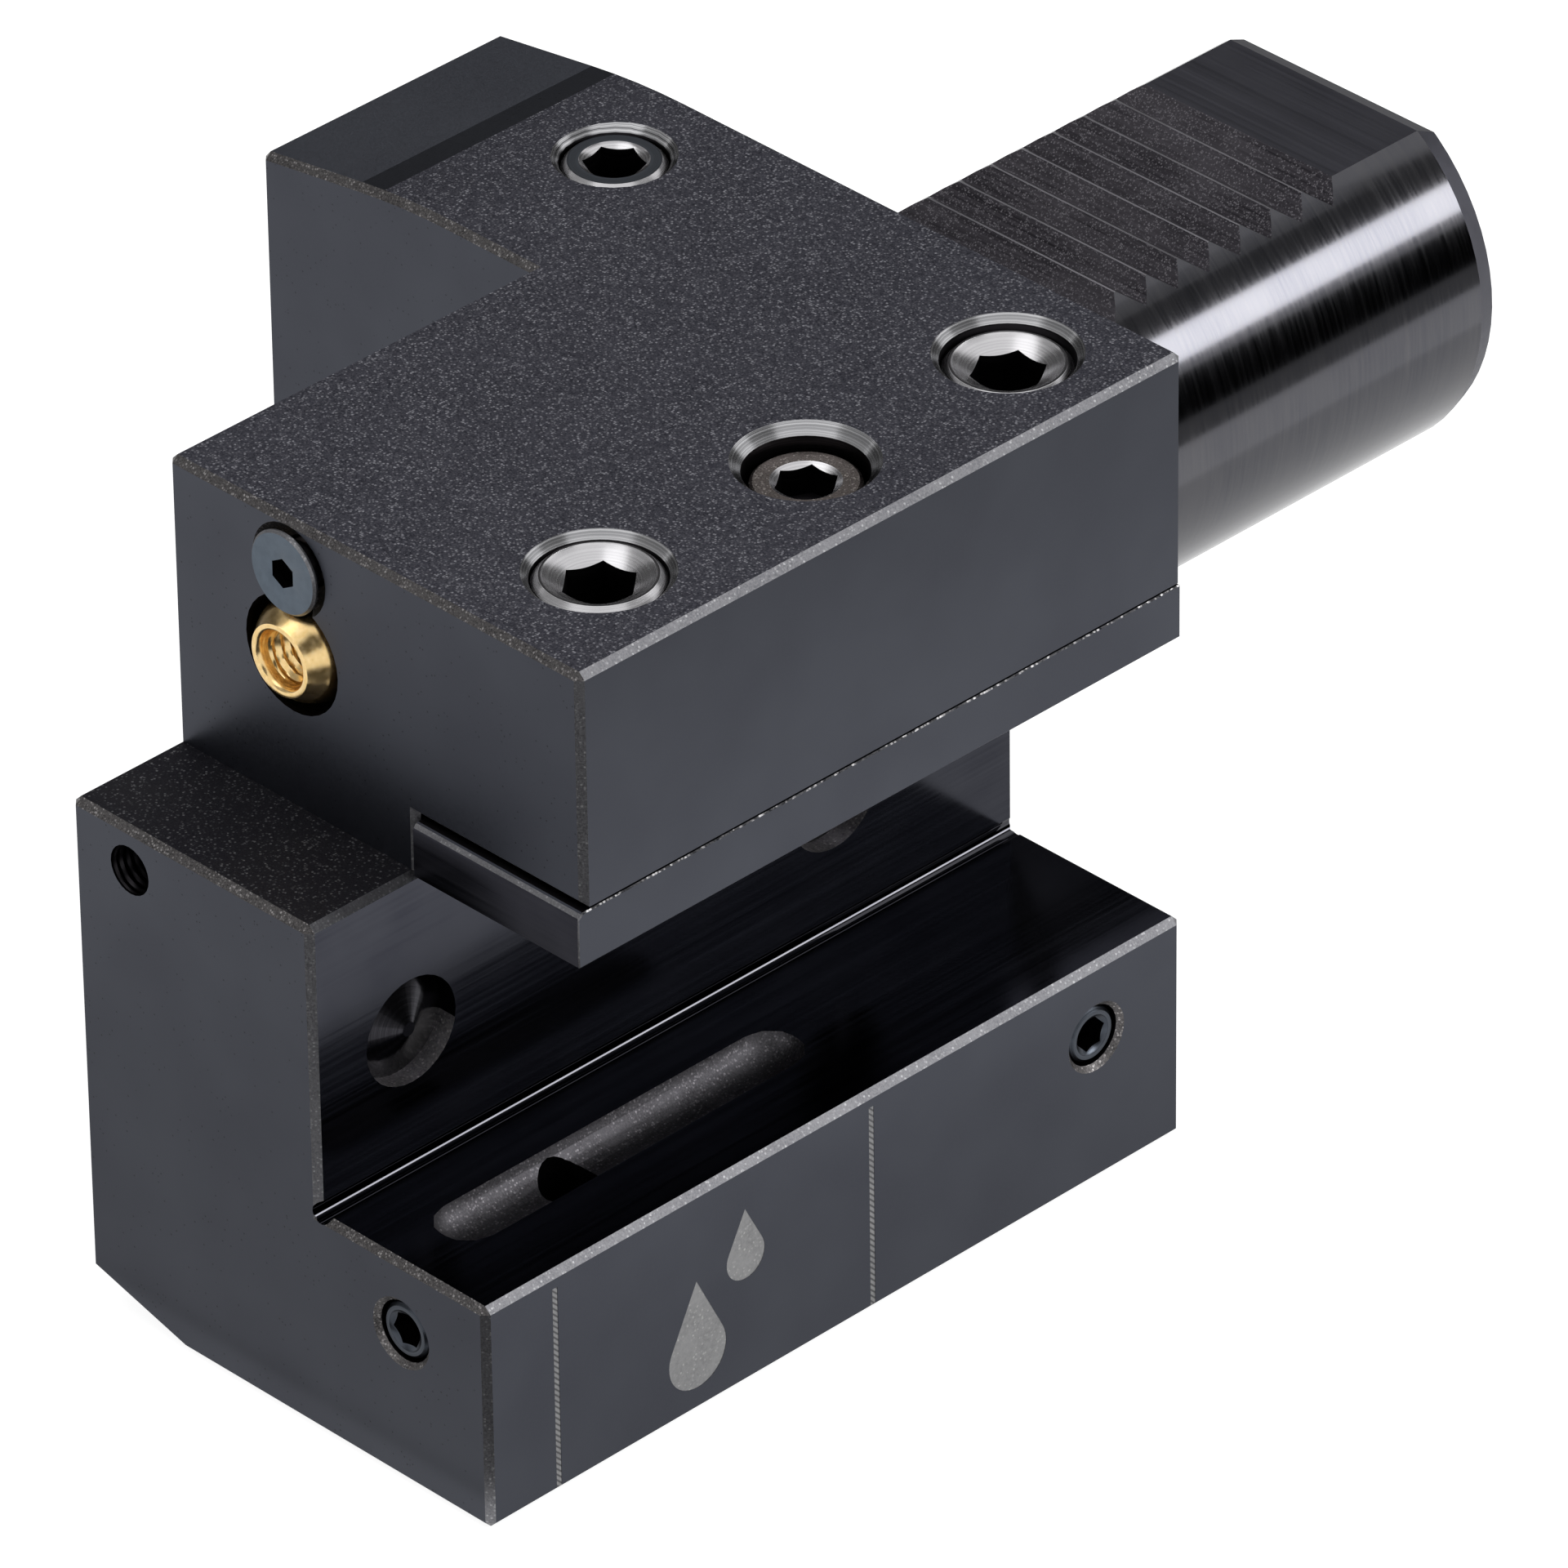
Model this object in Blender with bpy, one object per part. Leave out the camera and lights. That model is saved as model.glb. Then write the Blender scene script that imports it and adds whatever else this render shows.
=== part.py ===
# VDI 40 axial tool holder for a 25 mm square turning tool.
# Metres, +Z up. X is 0 on the shank's axis, +Y points out along the shank, Z is 0 on the underside.
# Positions below are named from the shank's axis (across and up) and from the turret face (along),
# so "front" sizes run towards -Y and "shank" sizes towards +Y.

import math

import bmesh
import bpy
from mathutils import Matrix, Vector

for old in list(bpy.data.objects):
    bpy.data.objects.remove(old, do_unlink=True)

# Overall block
half_width = 0.0425
top_height = 0.0332
bottom_drop = 0.0480
body_length = 0.0850
head_length = 0.0724
flange_thickness = 0.0294
head_left = 0.0080
step_height = 0.0043
edge_chamfer = 0.00065

# Sloping shoulders of the flange
slope_start = 0.0242
slope_drop = 0.0027
slope_blend_radius = 0.080
lower_slope_start = 0.0040
lower_slope_angle = math.radians(15.1)

# Tool slot and the tool it takes
tool_size = 0.0250
slot_depth = 0.0206
slot_roof_height = 0.0100
corner_relief_radius = 0.0010
corner_relief_inset = 0.00025

# Shank with its toothed flat and seal groove
shank_radius = 0.0200
shank_length = 0.0642
shank_join_depth = 0.0002
shank_chamfer_length = 0.0020
shank_chamfer_depth = 0.0006
flat_height = 0.0162
flat_start = 0.0145
flat_chamfer_drop = 0.0009
first_tooth_from_face = 0.0510
tooth_pitch = 0.0040
tooth_depth = 0.00156
tooth_steep_run = 0.0018
tooth_land = 0.0002
tooth_count = 9
centre_hole_radius = 0.0040
centre_hole_depth = 0.0040
shank_seal_offset = 0.0060
shank_seal_thickness = 0.0026
shank_seal_proud = 0.0003

# Fits
clearance = 0.0003
thread_clearance = 0.0003
seal_proud = 0.0002

# Clamp bar and its screws
screw_row_inset = 0.0108
front_screw_inset = 0.0128
rear_screw_offset = 0.0106
bar_thickness = 0.0054
bar_overhang = 0.0007
bar_edge = 0.00012
bar_nose_chamfer = 0.0005
clamp_thread_radius = 0.0060
clamp_rim_radius = 0.0067
front_screw_sink = 0.0003
rear_screw_sink = 0.0009
clamp_socket_width = 0.0060
clamp_socket_depth = 0.0070
clamp_dish_radius = 0.0043
bar_thread_radius = 0.0030
bar_head_radius = 0.0050
bar_head_height = 0.0060
bar_socket_width = 0.0050
bar_socket_depth = 0.0030
bar_head_sink = 0.0020
bar_bore_radius = 0.0056
bar_bore_rim_radius = 0.0066
bar_bore_depth = 0.0172
bar_thread_engagement = 0.0042
spring_wire = 0.0009
spring_turns = 4

# Coolant nozzle and its lock screw
nozzle_across = 0.0070
nozzle_height = 0.0196
nozzle_ball_radius = 0.00515
nozzle_ball_sink = 0.0026
nozzle_cone_start = 0.0029
nozzle_nose_radius = 0.0035
nozzle_nose_proud = 0.0015
nozzle_bore_radius = 0.0024
nozzle_mouth_radius = 0.0031
nozzle_mouth_depth = 0.0013
nozzle_recess_radius = 0.0057
nozzle_seal_radius = 0.0034
nozzle_seal_thickness = 0.0018
lock_screw_height = 0.0281
lock_head_radius = 0.0040
lock_mouth_gap = 0.0005
lock_head_proud = 0.0008
lock_rim_thickness = 0.0004
lock_thread_radius = 0.0025
lock_screw_length = 0.0120
lock_socket_width = 0.0025
lock_socket_depth = 0.0018

# Coolant galleries and plugs
riser_across = -0.0165
riser_offset = 0.0110
riser_radius = 0.0030
gallery_radius = 0.0025
feed_radius = 0.0021
feed_stagger = 0.00023
past_axis = 0.0006
jaw_gallery_inset = 0.0106
jaw_gallery_height = -0.0324
cross_gallery_height = -0.0327
inlet_height = 0.0260
inlet_radius = 0.0035
inlet_seal_radius = 0.0048
inlet_seal_thickness = 0.0018
big_plug_radius = 0.0050
big_plug_length = 0.0080
big_plug_rim_radius = 0.0057
big_plug_socket = 0.0050
small_plug_radius = 0.0030
small_plug_length = 0.0060
small_plug_rim_radius = 0.0035
small_plug_socket = 0.0030
plug_sink = 0.0005
spare_port_across = -0.0007
spare_port_height = 0.0000
spare_port_radius = 0.0024
spare_port_depth = 0.0100

# Pockets in the slot wall and the channel in the seat
pocket_radius = 0.00525
pocket_depth = 0.0020
pocket_nib_radius = 0.0007
pocket_nib_sink = 0.0003
pocket_height = -0.0114
front_pocket_offset = 0.0736
rear_pocket_offset = 0.0225
channel_inset = 0.0109
channel_radius = 0.0032
channel_depth = 0.0024
channel_front_offset = 0.0765
channel_rear_offset = 0.0402
channel_port_offset = 0.0645
channel_port_radius = 0.0028

cutter_spare = 0.0100

ROUND = 64
SCREW = 48
BORE = 24

# The frame: the shank's axis meets the turret face here
FRAME = Vector((0.0, (body_length - shank_length) / 2, bottom_drop))

# Places that several pieces share
slot_wall_offset = half_width - slot_depth
screw_row = half_width - screw_row_inset
front_screw_offset = head_length - front_screw_inset
bar_screw_offset = (front_screw_offset + rear_screw_offset) / 2
channel_across = half_width - channel_inset
jaw_gallery_across = half_width - jaw_gallery_inset
feed_offset = riser_offset + feed_stagger
cross_offset = riser_offset - feed_stagger
seat_height = -tool_size
bar_top = slot_roof_height - clearance
bar_underside = bar_top - bar_thickness
bar_floor = top_height - bar_bore_depth
ball_along = -(head_length - nozzle_ball_sink)
seal_reach = math.sqrt((nozzle_ball_radius + clearance + nozzle_seal_thickness / 2) ** 2
                       - nozzle_seal_radius ** 2)
recess_floor = ball_along + seal_reach + nozzle_seal_thickness / 2 + clearance
seal_groove_floor = shank_radius + shank_seal_proud - shank_seal_thickness - clearance


def material(name, color, metallic, roughness):
    mat = bpy.data.materials.new(name)
    mat.use_nodes = True
    shader = mat.node_tree.nodes["Principled BSDF"]
    shader.inputs["Base Color"].default_value = (*color, 1.0)
    shader.inputs["Metallic"].default_value = metallic
    shader.inputs["Roughness"].default_value = roughness
    return mat


def make_object(name, bm, mat=None):
    bm.normal_update()
    bmesh.ops.recalc_face_normals(bm, faces=bm.faces[:])
    mesh = bpy.data.meshes.new(name)
    bm.to_mesh(mesh)
    bm.free()
    obj = bpy.data.objects.new(name, mesh)
    obj.location = FRAME
    bpy.context.collection.objects.link(obj)
    if mat:
        mesh.materials.append(mat)
    return obj


def as_cutter(obj):
    obj.display_type = "WIRE"
    obj.hide_render = True
    return obj


def combine(target, tool, operation):
    mod = target.modifiers.new(f"{operation.lower()}_{tool.name}", "BOOLEAN")
    mod.operation = operation
    mod.solver = "EXACT"
    mod.object = as_cutter(tool)


def cut(target, tool):
    combine(target, tool, "DIFFERENCE")


def freeze(obj):
    depsgraph = bpy.context.evaluated_depsgraph_get()
    mesh = bpy.data.meshes.new_from_object(obj.evaluated_get(depsgraph))
    obj.modifiers.clear()
    obj.data = mesh


def turn_to(axis):
    return Vector((0, 0, 1)).rotation_difference(Vector(axis)).to_matrix().to_4x4()


def prism(name, outline, along, axis="Y"):
    # outline is a list of (across, up) points, drawn in the XZ plane and pushed along Y,
    # or (along, up) points in the YZ plane pushed along X
    low, high = along
    place = (lambda a, b, c: (a, c, b)) if axis == "Y" else (lambda a, b, c: (c, a, b))
    bm = bmesh.new()
    face = bm.faces.new([bm.verts.new(place(a, b, low)) for a, b in outline])
    pushed = bmesh.ops.extrude_face_region(bm, geom=[face])
    verts = [v for v in pushed["geom"] if isinstance(v, bmesh.types.BMVert)]
    step = Vector(place(0, 0, high - low))
    bmesh.ops.translate(bm, verts=verts, vec=step)
    return make_object(name, bm)


def box(name, low, high):
    outline = [(low[0], low[2]), (high[0], low[2]), (high[0], high[2]), (low[0], high[2])]
    return prism(name, outline, (low[1], high[1]))


def revolved(name, profile, centre, axis, steps, mat=None, ring=False):
    # profile is a list of (radius, distance along axis); a ring's profile closes on itself,
    # any other starts and ends on the axis
    bm = bmesh.new()
    verts = [bm.verts.new((r, 0, z)) for r, z in profile]
    pairs = list(zip(verts, verts[1:] + verts[:1])) if ring else list(zip(verts, verts[1:]))
    edges = [bm.edges.new(pair) for pair in pairs]
    bmesh.ops.spin(bm, geom=verts + edges, axis=(0, 0, 1), cent=(0, 0, 0),
                   angle=math.tau, steps=steps, use_merge=True)
    bmesh.ops.remove_doubles(bm, verts=bm.verts[:], dist=1e-7)
    bm.transform(Matrix.Translation(centre) @ turn_to(axis))
    return make_object(name, bm, mat)


def drilled(name, mouth, inward, sections, rim=0.0, tip=0.0, steps=BORE):
    # One drilling from its mouth: sections are (radius, depth it reaches) from the mouth inwards,
    # rim is the radius of the mouth's 45 degree chamfer and tip the length of the drill point
    spare = 0.001
    radius, depth = sections[0]
    wide = max(rim, radius)
    profile = [(0, -spare), (wide + spare, -spare) if rim else (radius, -spare)]
    if rim:
        profile.append((radius, wide - radius))
    for radius, depth in sections:
        if profile[-1][0] != radius:
            profile.append((radius, profile[-1][1]))
        profile.append((radius, depth))
    profile.append((0, depth + tip))
    return revolved(name, profile, mouth, inward, steps)


def cone(name, wide, narrow, depth, mouth, inward, steps=SCREW):
    spare = 0.0005
    flare = (wide - narrow) / depth * spare
    profile = [(0, -spare), (wide + flare, -spare), (narrow, depth), (0, depth)]
    return revolved(name, profile, mouth, inward, steps)


def hexagon(name, width, depth, centre, inward):
    spare = 0.001
    corner = width / math.sqrt(3)
    profile = [(0, -spare), (corner, -spare), (corner, depth), (0, depth + width * 0.25)]
    return revolved(name, profile, centre, inward, 6)


def lies_on(edge, line):
    return all(abs(v.co.x - line[0]) < 1e-6 and abs(v.co.z - line[1]) < 1e-6 for v in edge.verts)


def chamfer_outside(obj, width, keep_line=None):
    # The edge along Y at keep_line (across, up) stays sharp
    bm = bmesh.new()
    bm.from_mesh(obj.data)
    sharp = [e for e in bm.edges if e.is_convex and e.calc_face_angle(0) > math.radians(30)
             and not (keep_line and lies_on(e, keep_line))]
    bmesh.ops.bevel(bm, geom=sharp, offset=width, offset_type="OFFSET", segments=1,
                    profile=0.5, affect="EDGES", clamp_overlap=True)
    bm.to_mesh(obj.data)
    bm.free()


def slope_arc(corner, angle, radius, steps=4):
    # Points of the large fillet between the sloping shoulder and the flat top
    reach = radius * math.tan(angle / 2)
    start = Vector(corner) - reach * Vector((math.cos(angle), math.sin(angle)))
    centre = start + radius * Vector((math.sin(angle), -math.cos(angle)))
    turns = [angle * (1 - i / steps) for i in range(steps + 1)]
    return [(centre.x - radius * math.sin(t), centre.y + radius * math.cos(t)) for t in turns]


def block_outline():
    slope_angle = math.atan2(slope_drop, half_width - slope_start)
    lower_rise = (half_width + lower_slope_start) * math.tan(lower_slope_angle)
    return [
        (lower_slope_start, -bottom_drop),
        (half_width, -bottom_drop),
        (half_width, seat_height),
        (slot_wall_offset, seat_height),
        (slot_wall_offset, slot_roof_height),
        (half_width, slot_roof_height),
        (half_width, top_height),
        *reversed(slope_arc((-slope_start, top_height), slope_angle, slope_blend_radius)),
        (-half_width, top_height - slope_drop),
        (-half_width, -bottom_drop + lower_rise),
    ]


def tooth_outline():
    above = shank_radius + 0.002
    deep = flat_height - tooth_depth
    points = [(first_tooth_from_face, above), (first_tooth_from_face, flat_height)]
    tip = first_tooth_from_face
    for _ in range(tooth_count - 1):
        points.append((tip - tooth_steep_run, deep))
        tip -= tooth_pitch
        points.append((tip + tooth_land, flat_height))
        points.append((tip, flat_height))
    points.append((tip, above))
    return points


def make_shank():
    end = shank_length
    groove = shank_seal_thickness + 2 * clearance
    groove_low = shank_seal_offset - groove / 2
    groove_high = shank_seal_offset + groove / 2
    buried = -shank_join_depth
    profile = [
        (0, buried), (shank_radius, buried), (shank_radius, groove_low), (seal_groove_floor, groove_low),
        (seal_groove_floor, groove_high), (shank_radius, groove_high),
        (shank_radius, end - shank_chamfer_length), (shank_radius - shank_chamfer_depth, end), (0, end),
    ]
    shank = revolved("shank", profile, (0, 0, 0), (0, 1, 0), ROUND)
    wide = shank_radius + 0.002
    flat = [
        (flat_start, wide), (flat_start, flat_height), (end - shank_chamfer_length, flat_height),
        (end, flat_height - flat_chamfer_drop), (end + 0.002, flat_height - 2 * flat_chamfer_drop),
        (end + 0.002, wide),
    ]
    cut(shank, prism("shank_flat", flat, (-wide, wide), axis="X"))
    cut(shank, prism("shank_teeth", tooth_outline(), (-wide, wide), axis="X"))
    centre = [(centre_hole_radius * 0.4, centre_hole_depth)]
    cut(shank, drilled("centre_hole", (0, end, 0), (0, -1, 0), centre, rim=centre_hole_radius))
    return shank


def make_block():
    block = prism("holder_body", block_outline(), (-body_length, 0))
    far = body_length + cutter_spare
    cut(block, box("left_clearance", (-far, -far, -far), (-head_left, -flange_thickness, far)))
    cut(block, box("front_clearance", (-far, -far, step_height), (far, -head_length, far)))
    freeze(block)
    chamfer_outside(block, edge_chamfer, (half_width, slot_roof_height))
    return block


def cut_slot_details(body):
    relief = [(0, -0.001), (corner_relief_radius, -0.001), (corner_relief_radius, body_length + 0.001),
              (0, body_length + 0.001)]
    cut(body, revolved("corner_relief", relief, (slot_wall_offset + corner_relief_inset, 0,
                                                 seat_height + corner_relief_inset), (0, -1, 0), 36))
    pocket = [(0, -0.001), (pocket_radius, -0.001), (pocket_radius, pocket_depth),
              (pocket_nib_radius, pocket_nib_sink), (0, pocket_nib_sink)]  # leaves a low blunt cone standing
    for name, offset in (("front_pocket", front_pocket_offset), ("rear_pocket", rear_pocket_offset)):
        cut(body, revolved(name, pocket, (slot_wall_offset, -offset, pocket_height), (-1, 0, 0), 32))
    lift = channel_radius - channel_depth
    run = channel_front_offset - channel_rear_offset
    turns = [math.pi / 2 * i / 3 for i in range(4)]
    front_end = [(channel_radius * math.sin(t), -channel_radius * math.cos(t)) for t in turns]
    rear_end = [(r, run - z) for r, z in reversed(front_end)]
    rod = [(r if r > 1e-6 else 0, z) for r, z in front_end + rear_end]
    cut(body, revolved("seat_channel", rod, (channel_across, -channel_front_offset, seat_height + lift),
                       (0, 1, 0), BORE))


def cut_screw_holes(body):
    down = (0, 0, -1)
    through = top_height - slot_roof_height + 0.001
    for name, offset in (("front", front_screw_offset), ("rear", rear_screw_offset)):
        cut(body, drilled(f"{name}_screw_hole", (screw_row, -offset, top_height), down,
                          [(clamp_thread_radius, through)], rim=clamp_rim_radius, steps=SCREW))
    bar_hole = [(bar_bore_radius, bar_bore_depth), (bar_thread_radius + clearance, through)]
    cut(body, drilled("bar_screw_hole", (screw_row, -bar_screw_offset, top_height), down, bar_hole,
                      rim=bar_bore_rim_radius, steps=SCREW))


def cut_galleries(body):
    down, right, left = (0, 0, -1), (1, 0, 0), (-1, 0, 0)
    inward, back = (0, 1, 0), (0, -1, 0)
    big_seat = (big_plug_radius, big_plug_length + plug_sink + clearance)
    small_seat = (small_plug_radius, small_plug_length + plug_sink + clearance)
    riser_end = top_height - cross_gallery_height + riser_radius
    cut(body, drilled("riser", (riser_across, -riser_offset, top_height), down,
                      [big_seat, (riser_radius, riser_end)], rim=big_plug_rim_radius))
    cut(body, drilled("nozzle_feed", (-half_width, -feed_offset, nozzle_height), right,
                      [big_seat, (feed_radius, half_width + nozzle_across + past_axis)], rim=big_plug_rim_radius))
    cut(body, drilled("cross_gallery", (half_width, -cross_offset, cross_gallery_height), left,
                      [small_seat, (gallery_radius, half_width - riser_across + past_axis)],
                      rim=small_plug_rim_radius))
    cut(body, drilled("jaw_gallery", (jaw_gallery_across, -body_length, jaw_gallery_height), inward,
                      [small_seat, (gallery_radius, body_length - cross_offset + past_axis)],
                      rim=small_plug_rim_radius))
    port_top = seat_height - channel_depth / 2
    cut(body, drilled("channel_port", (channel_across, -channel_port_offset, port_top), down,
                      [(channel_port_radius, port_top - jaw_gallery_height + past_axis)]))
    cut(body, drilled("spare_port", (spare_port_across, -body_length, spare_port_height), inward,
                      [(spare_port_radius, spare_port_depth)], tip=spare_port_radius * 0.6))
    seal_seat = (inlet_seal_radius + inlet_seal_thickness / 2 + clearance,
                 inlet_seal_thickness - seal_proud + clearance)
    cut(body, drilled("inlet", (riser_across, 0, inlet_height), back, [seal_seat, (inlet_radius, riser_offset + past_axis)]))


def cut_nozzle_seat(body):
    inward = (0, 1, 0)
    recess = (nozzle_recess_radius, recess_floor + head_length)
    cut(body, drilled("nozzle_recess", (nozzle_across, -head_length, nozzle_height), inward,
                      [recess, (gallery_radius, head_length - riser_offset + feed_radius / 2)], steps=32))
    lock_hole = (lock_thread_radius, lock_screw_length - lock_head_proud + 0.001)
    cut(body, drilled("lock_screw_hole", (nozzle_across, -head_length, lock_screw_height), inward,
                      [lock_hole], rim=lock_head_radius + lock_mouth_gap, tip=0.001, steps=32))


def make_body(mat):
    body = make_block()
    combine(body, make_shank(), "UNION")
    cut_slot_details(body)
    cut_screw_holes(body)
    cut_galleries(body)
    cut_nozzle_seat(body)
    body.data.materials.append(mat)
    return body


def make_clamp_bar(mat):
    left = slot_wall_offset + clearance
    front = -(head_length + bar_overhang)
    nose = [(front, bar_underside), (-clearance, bar_underside), (-clearance, bar_top),
            (front + bar_nose_chamfer, bar_top), (front, bar_top - bar_nose_chamfer)]
    bar = prism("clamp_bar", nose, (left, half_width), axis="X")
    chamfer_outside(bar, bar_edge)
    bar.data.materials.append(mat)
    cut(bar, drilled("bar_thread", (screw_row, -bar_screw_offset, bar_top), (0, 0, -1),
                     [(bar_thread_radius, bar_thickness + 0.001)]))
    return bar


def socket_screw(name, profile, centre, axis, socket_width, socket_depth, dish, mat):
    # centre is the middle of the driven end, axis points from there into the hole
    screw = revolved(name, profile, centre, axis, SCREW, mat)
    cut(screw, hexagon(f"{name}_socket", socket_width, socket_depth, centre, axis))
    if dish:
        narrow = socket_width * 0.45
        cut(screw, cone(f"{name}_dish", dish, narrow, (dish - narrow) * 0.6, centre, axis))
    return screw


def set_screw(name, thread_radius, length, mouth, inward, sink, socket_width, socket_depth, dish, mat):
    radius = thread_radius - thread_clearance
    lead = radius * 0.12
    profile = [(0, 0), (radius - lead, 0), (radius, lead), (radius, length - lead), (radius - lead, length),
               (0, length)]
    centre = Vector(mouth) + Vector(inward) * sink
    return socket_screw(name, profile, centre, inward, socket_width, socket_depth, dish, mat)


def make_clamp_screws(mat):
    for name, offset, sink in (("clamp_screw_front", front_screw_offset, front_screw_sink),
                               ("clamp_screw_rear", rear_screw_offset, rear_screw_sink)):
        length = top_height - sink - bar_top - clearance
        set_screw(name, clamp_thread_radius, length, (screw_row, -offset, top_height), (0, 0, -1),
                  sink, clamp_socket_width, clamp_socket_depth, clamp_dish_radius, mat)


def make_bar_screw(mat):
    top = top_height - bar_head_sink
    radius = bar_thread_radius - thread_clearance
    length = top - bar_top + bar_thread_engagement
    edge = bar_head_radius * 0.08
    profile = [(0, 0), (bar_head_radius - edge, 0), (bar_head_radius, edge), (bar_head_radius, bar_head_height),
               (radius, bar_head_height), (radius, length - radius * 0.2), (radius * 0.8, length), (0, length)]
    return socket_screw("bar_screw", profile, Vector((screw_row, -bar_screw_offset, top)), (0, 0, -1),
                        bar_socket_width, bar_socket_depth, bar_socket_width * 0.62, mat)


def make_return_spring(mat):
    # Between the counterbore's floor and the bar screw's head, with flattened ends left to the eye
    low = bar_floor + clearance + spring_wire / 2
    high = top_height - bar_head_sink - bar_head_height - clearance - spring_wire / 2
    radius = (bar_thread_radius + bar_head_radius) / 2 + 0.0004
    steps = 16 * spring_turns
    curve = bpy.data.curves.new("return_spring", "CURVE")
    curve.dimensions = "3D"
    curve.bevel_depth = spring_wire / 2
    curve.bevel_resolution = 1
    curve.use_fill_caps = True
    line = curve.splines.new("POLY")
    line.points.add(steps)
    for i, point in enumerate(line.points):
        turn = math.tau * spring_turns * i / steps
        rise = low + (high - low) * i / steps
        point.co = (screw_row + radius * math.cos(turn), -bar_screw_offset + radius * math.sin(turn), rise, 1)
    spring = bpy.data.objects.new("return_spring", curve)
    spring.location = FRAME
    bpy.context.collection.objects.link(spring)
    curve.materials.append(mat)
    return spring


def make_nozzle_ball(mat):
    # Revolved about the nozzle's axis, measured from the ball's centre towards the outside
    nose = nozzle_ball_sink + nozzle_nose_proud
    back = -math.sqrt(nozzle_ball_radius ** 2 - nozzle_seal_radius ** 2) * 0.98
    start = math.acos(back / nozzle_ball_radius)
    stop = math.acos(nozzle_cone_start / nozzle_ball_radius)
    count = 14
    angles = [start + (stop - start) * i / count for i in range(count + 1)]
    arc = [(nozzle_ball_radius * math.sin(a), nozzle_ball_radius * math.cos(a)) for a in angles]
    edge = (nozzle_nose_radius - nozzle_mouth_radius) / 3
    mouth_floor = nose - nozzle_mouth_depth
    profile = [(nozzle_bore_radius, back), *arc, (nozzle_nose_radius, nose - edge), (nozzle_nose_radius - edge, nose),
               (nozzle_mouth_radius, nose), (nozzle_mouth_radius, mouth_floor),
               (nozzle_bore_radius, mouth_floor - nozzle_mouth_radius + nozzle_bore_radius)]
    centre = (nozzle_across, ball_along, nozzle_height)
    return revolved("nozzle_ball", profile, centre, (0, -1, 0), SCREW, mat, ring=True)


def make_ring(name, middle_radius, thickness, centre, axis, mat, steps=40):
    sides = 8
    half = thickness / 2
    turns = [math.tau * i / sides for i in range(sides)]
    profile = [(middle_radius + half * math.cos(t), half * math.sin(t)) for t in turns]
    return revolved(name, profile, centre, axis, steps, mat, ring=True)


def make_lock_screw(mat):
    shank = lock_thread_radius - thread_clearance
    cone_end = lock_rim_thickness + lock_head_radius - shank
    profile = [(0, 0), (lock_head_radius - 0.0002, 0), (lock_head_radius, 0.0002),
               (lock_head_radius, lock_rim_thickness), (shank, cone_end), (shank, lock_screw_length),
               (0, lock_screw_length)]
    centre = Vector((nozzle_across, -head_length - lock_head_proud, lock_screw_height))
    return socket_screw("nozzle_lock_screw", profile, centre, (0, 1, 0), lock_socket_width,
                        lock_socket_depth, 0, mat)


def make_plugs(mat):
    big = (big_plug_radius, big_plug_length)
    small = (small_plug_radius, small_plug_length)
    plugs = (
        ("flange_plug", big, big_plug_socket, (riser_across, -riser_offset, top_height), (0, 0, -1)),
        ("gallery_plug", big, big_plug_socket, (-half_width, -feed_offset, nozzle_height), (1, 0, 0)),
        ("side_plug", small, small_plug_socket, (half_width, -cross_offset, cross_gallery_height), (-1, 0, 0)),
        ("front_plug", small, small_plug_socket, (jaw_gallery_across, -body_length, jaw_gallery_height), (0, 1, 0)),
    )
    for name, (radius, length), socket, mouth, inward in plugs:
        set_screw(name, radius, length, mouth, inward, plug_sink, socket, length * 0.5, socket * 0.62, mat)


def make_seals(mat):
    make_ring("nozzle_seal", nozzle_seal_radius, nozzle_seal_thickness,
              (nozzle_across, ball_along + seal_reach, nozzle_height), (0, 1, 0), mat)
    make_ring("inlet_seal", inlet_seal_radius, inlet_seal_thickness,
              (riser_across, seal_proud - inlet_seal_thickness / 2, inlet_height), (0, 1, 0), mat)
    make_ring("shank_seal", seal_groove_floor + clearance + shank_seal_thickness / 2, shank_seal_thickness,
              (0, shank_seal_offset, 0), (0, 1, 0), mat, ROUND)


def build():
    make_body(material("black_oxide_steel", (0.045, 0.049, 0.056), 0.9, 0.42))
    make_clamp_bar(material("dark_ground_steel", (0.03, 0.032, 0.036), 0.9, 0.3))
    screw_steel = material("polished_dark_steel", (0.06, 0.06, 0.065), 1.0, 0.2)
    make_clamp_screws(screw_steel)
    make_bar_screw(material("bar_screw_steel", (0.09, 0.085, 0.085), 1.0, 0.35))
    make_return_spring(material("spring_steel", (0.45, 0.45, 0.47), 1.0, 0.3))
    make_nozzle_ball(material("brass", (0.75, 0.52, 0.22), 1.0, 0.15))
    make_lock_screw(material("blued_steel", (0.10, 0.13, 0.17), 1.0, 0.35))
    make_plugs(screw_steel)
    make_seals(material("black_rubber", (0.012, 0.012, 0.012), 0.0, 0.6))


build()
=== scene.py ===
# Axial tool holder with a toothed shank: finishes, threads, engraved marks, light and camera.
# Sizes are in millimetres from the shank's axis and the turret face, and at() puts them into the frame.

import math
import bmesh
import bpy
from mathutils import Matrix, Vector


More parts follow.
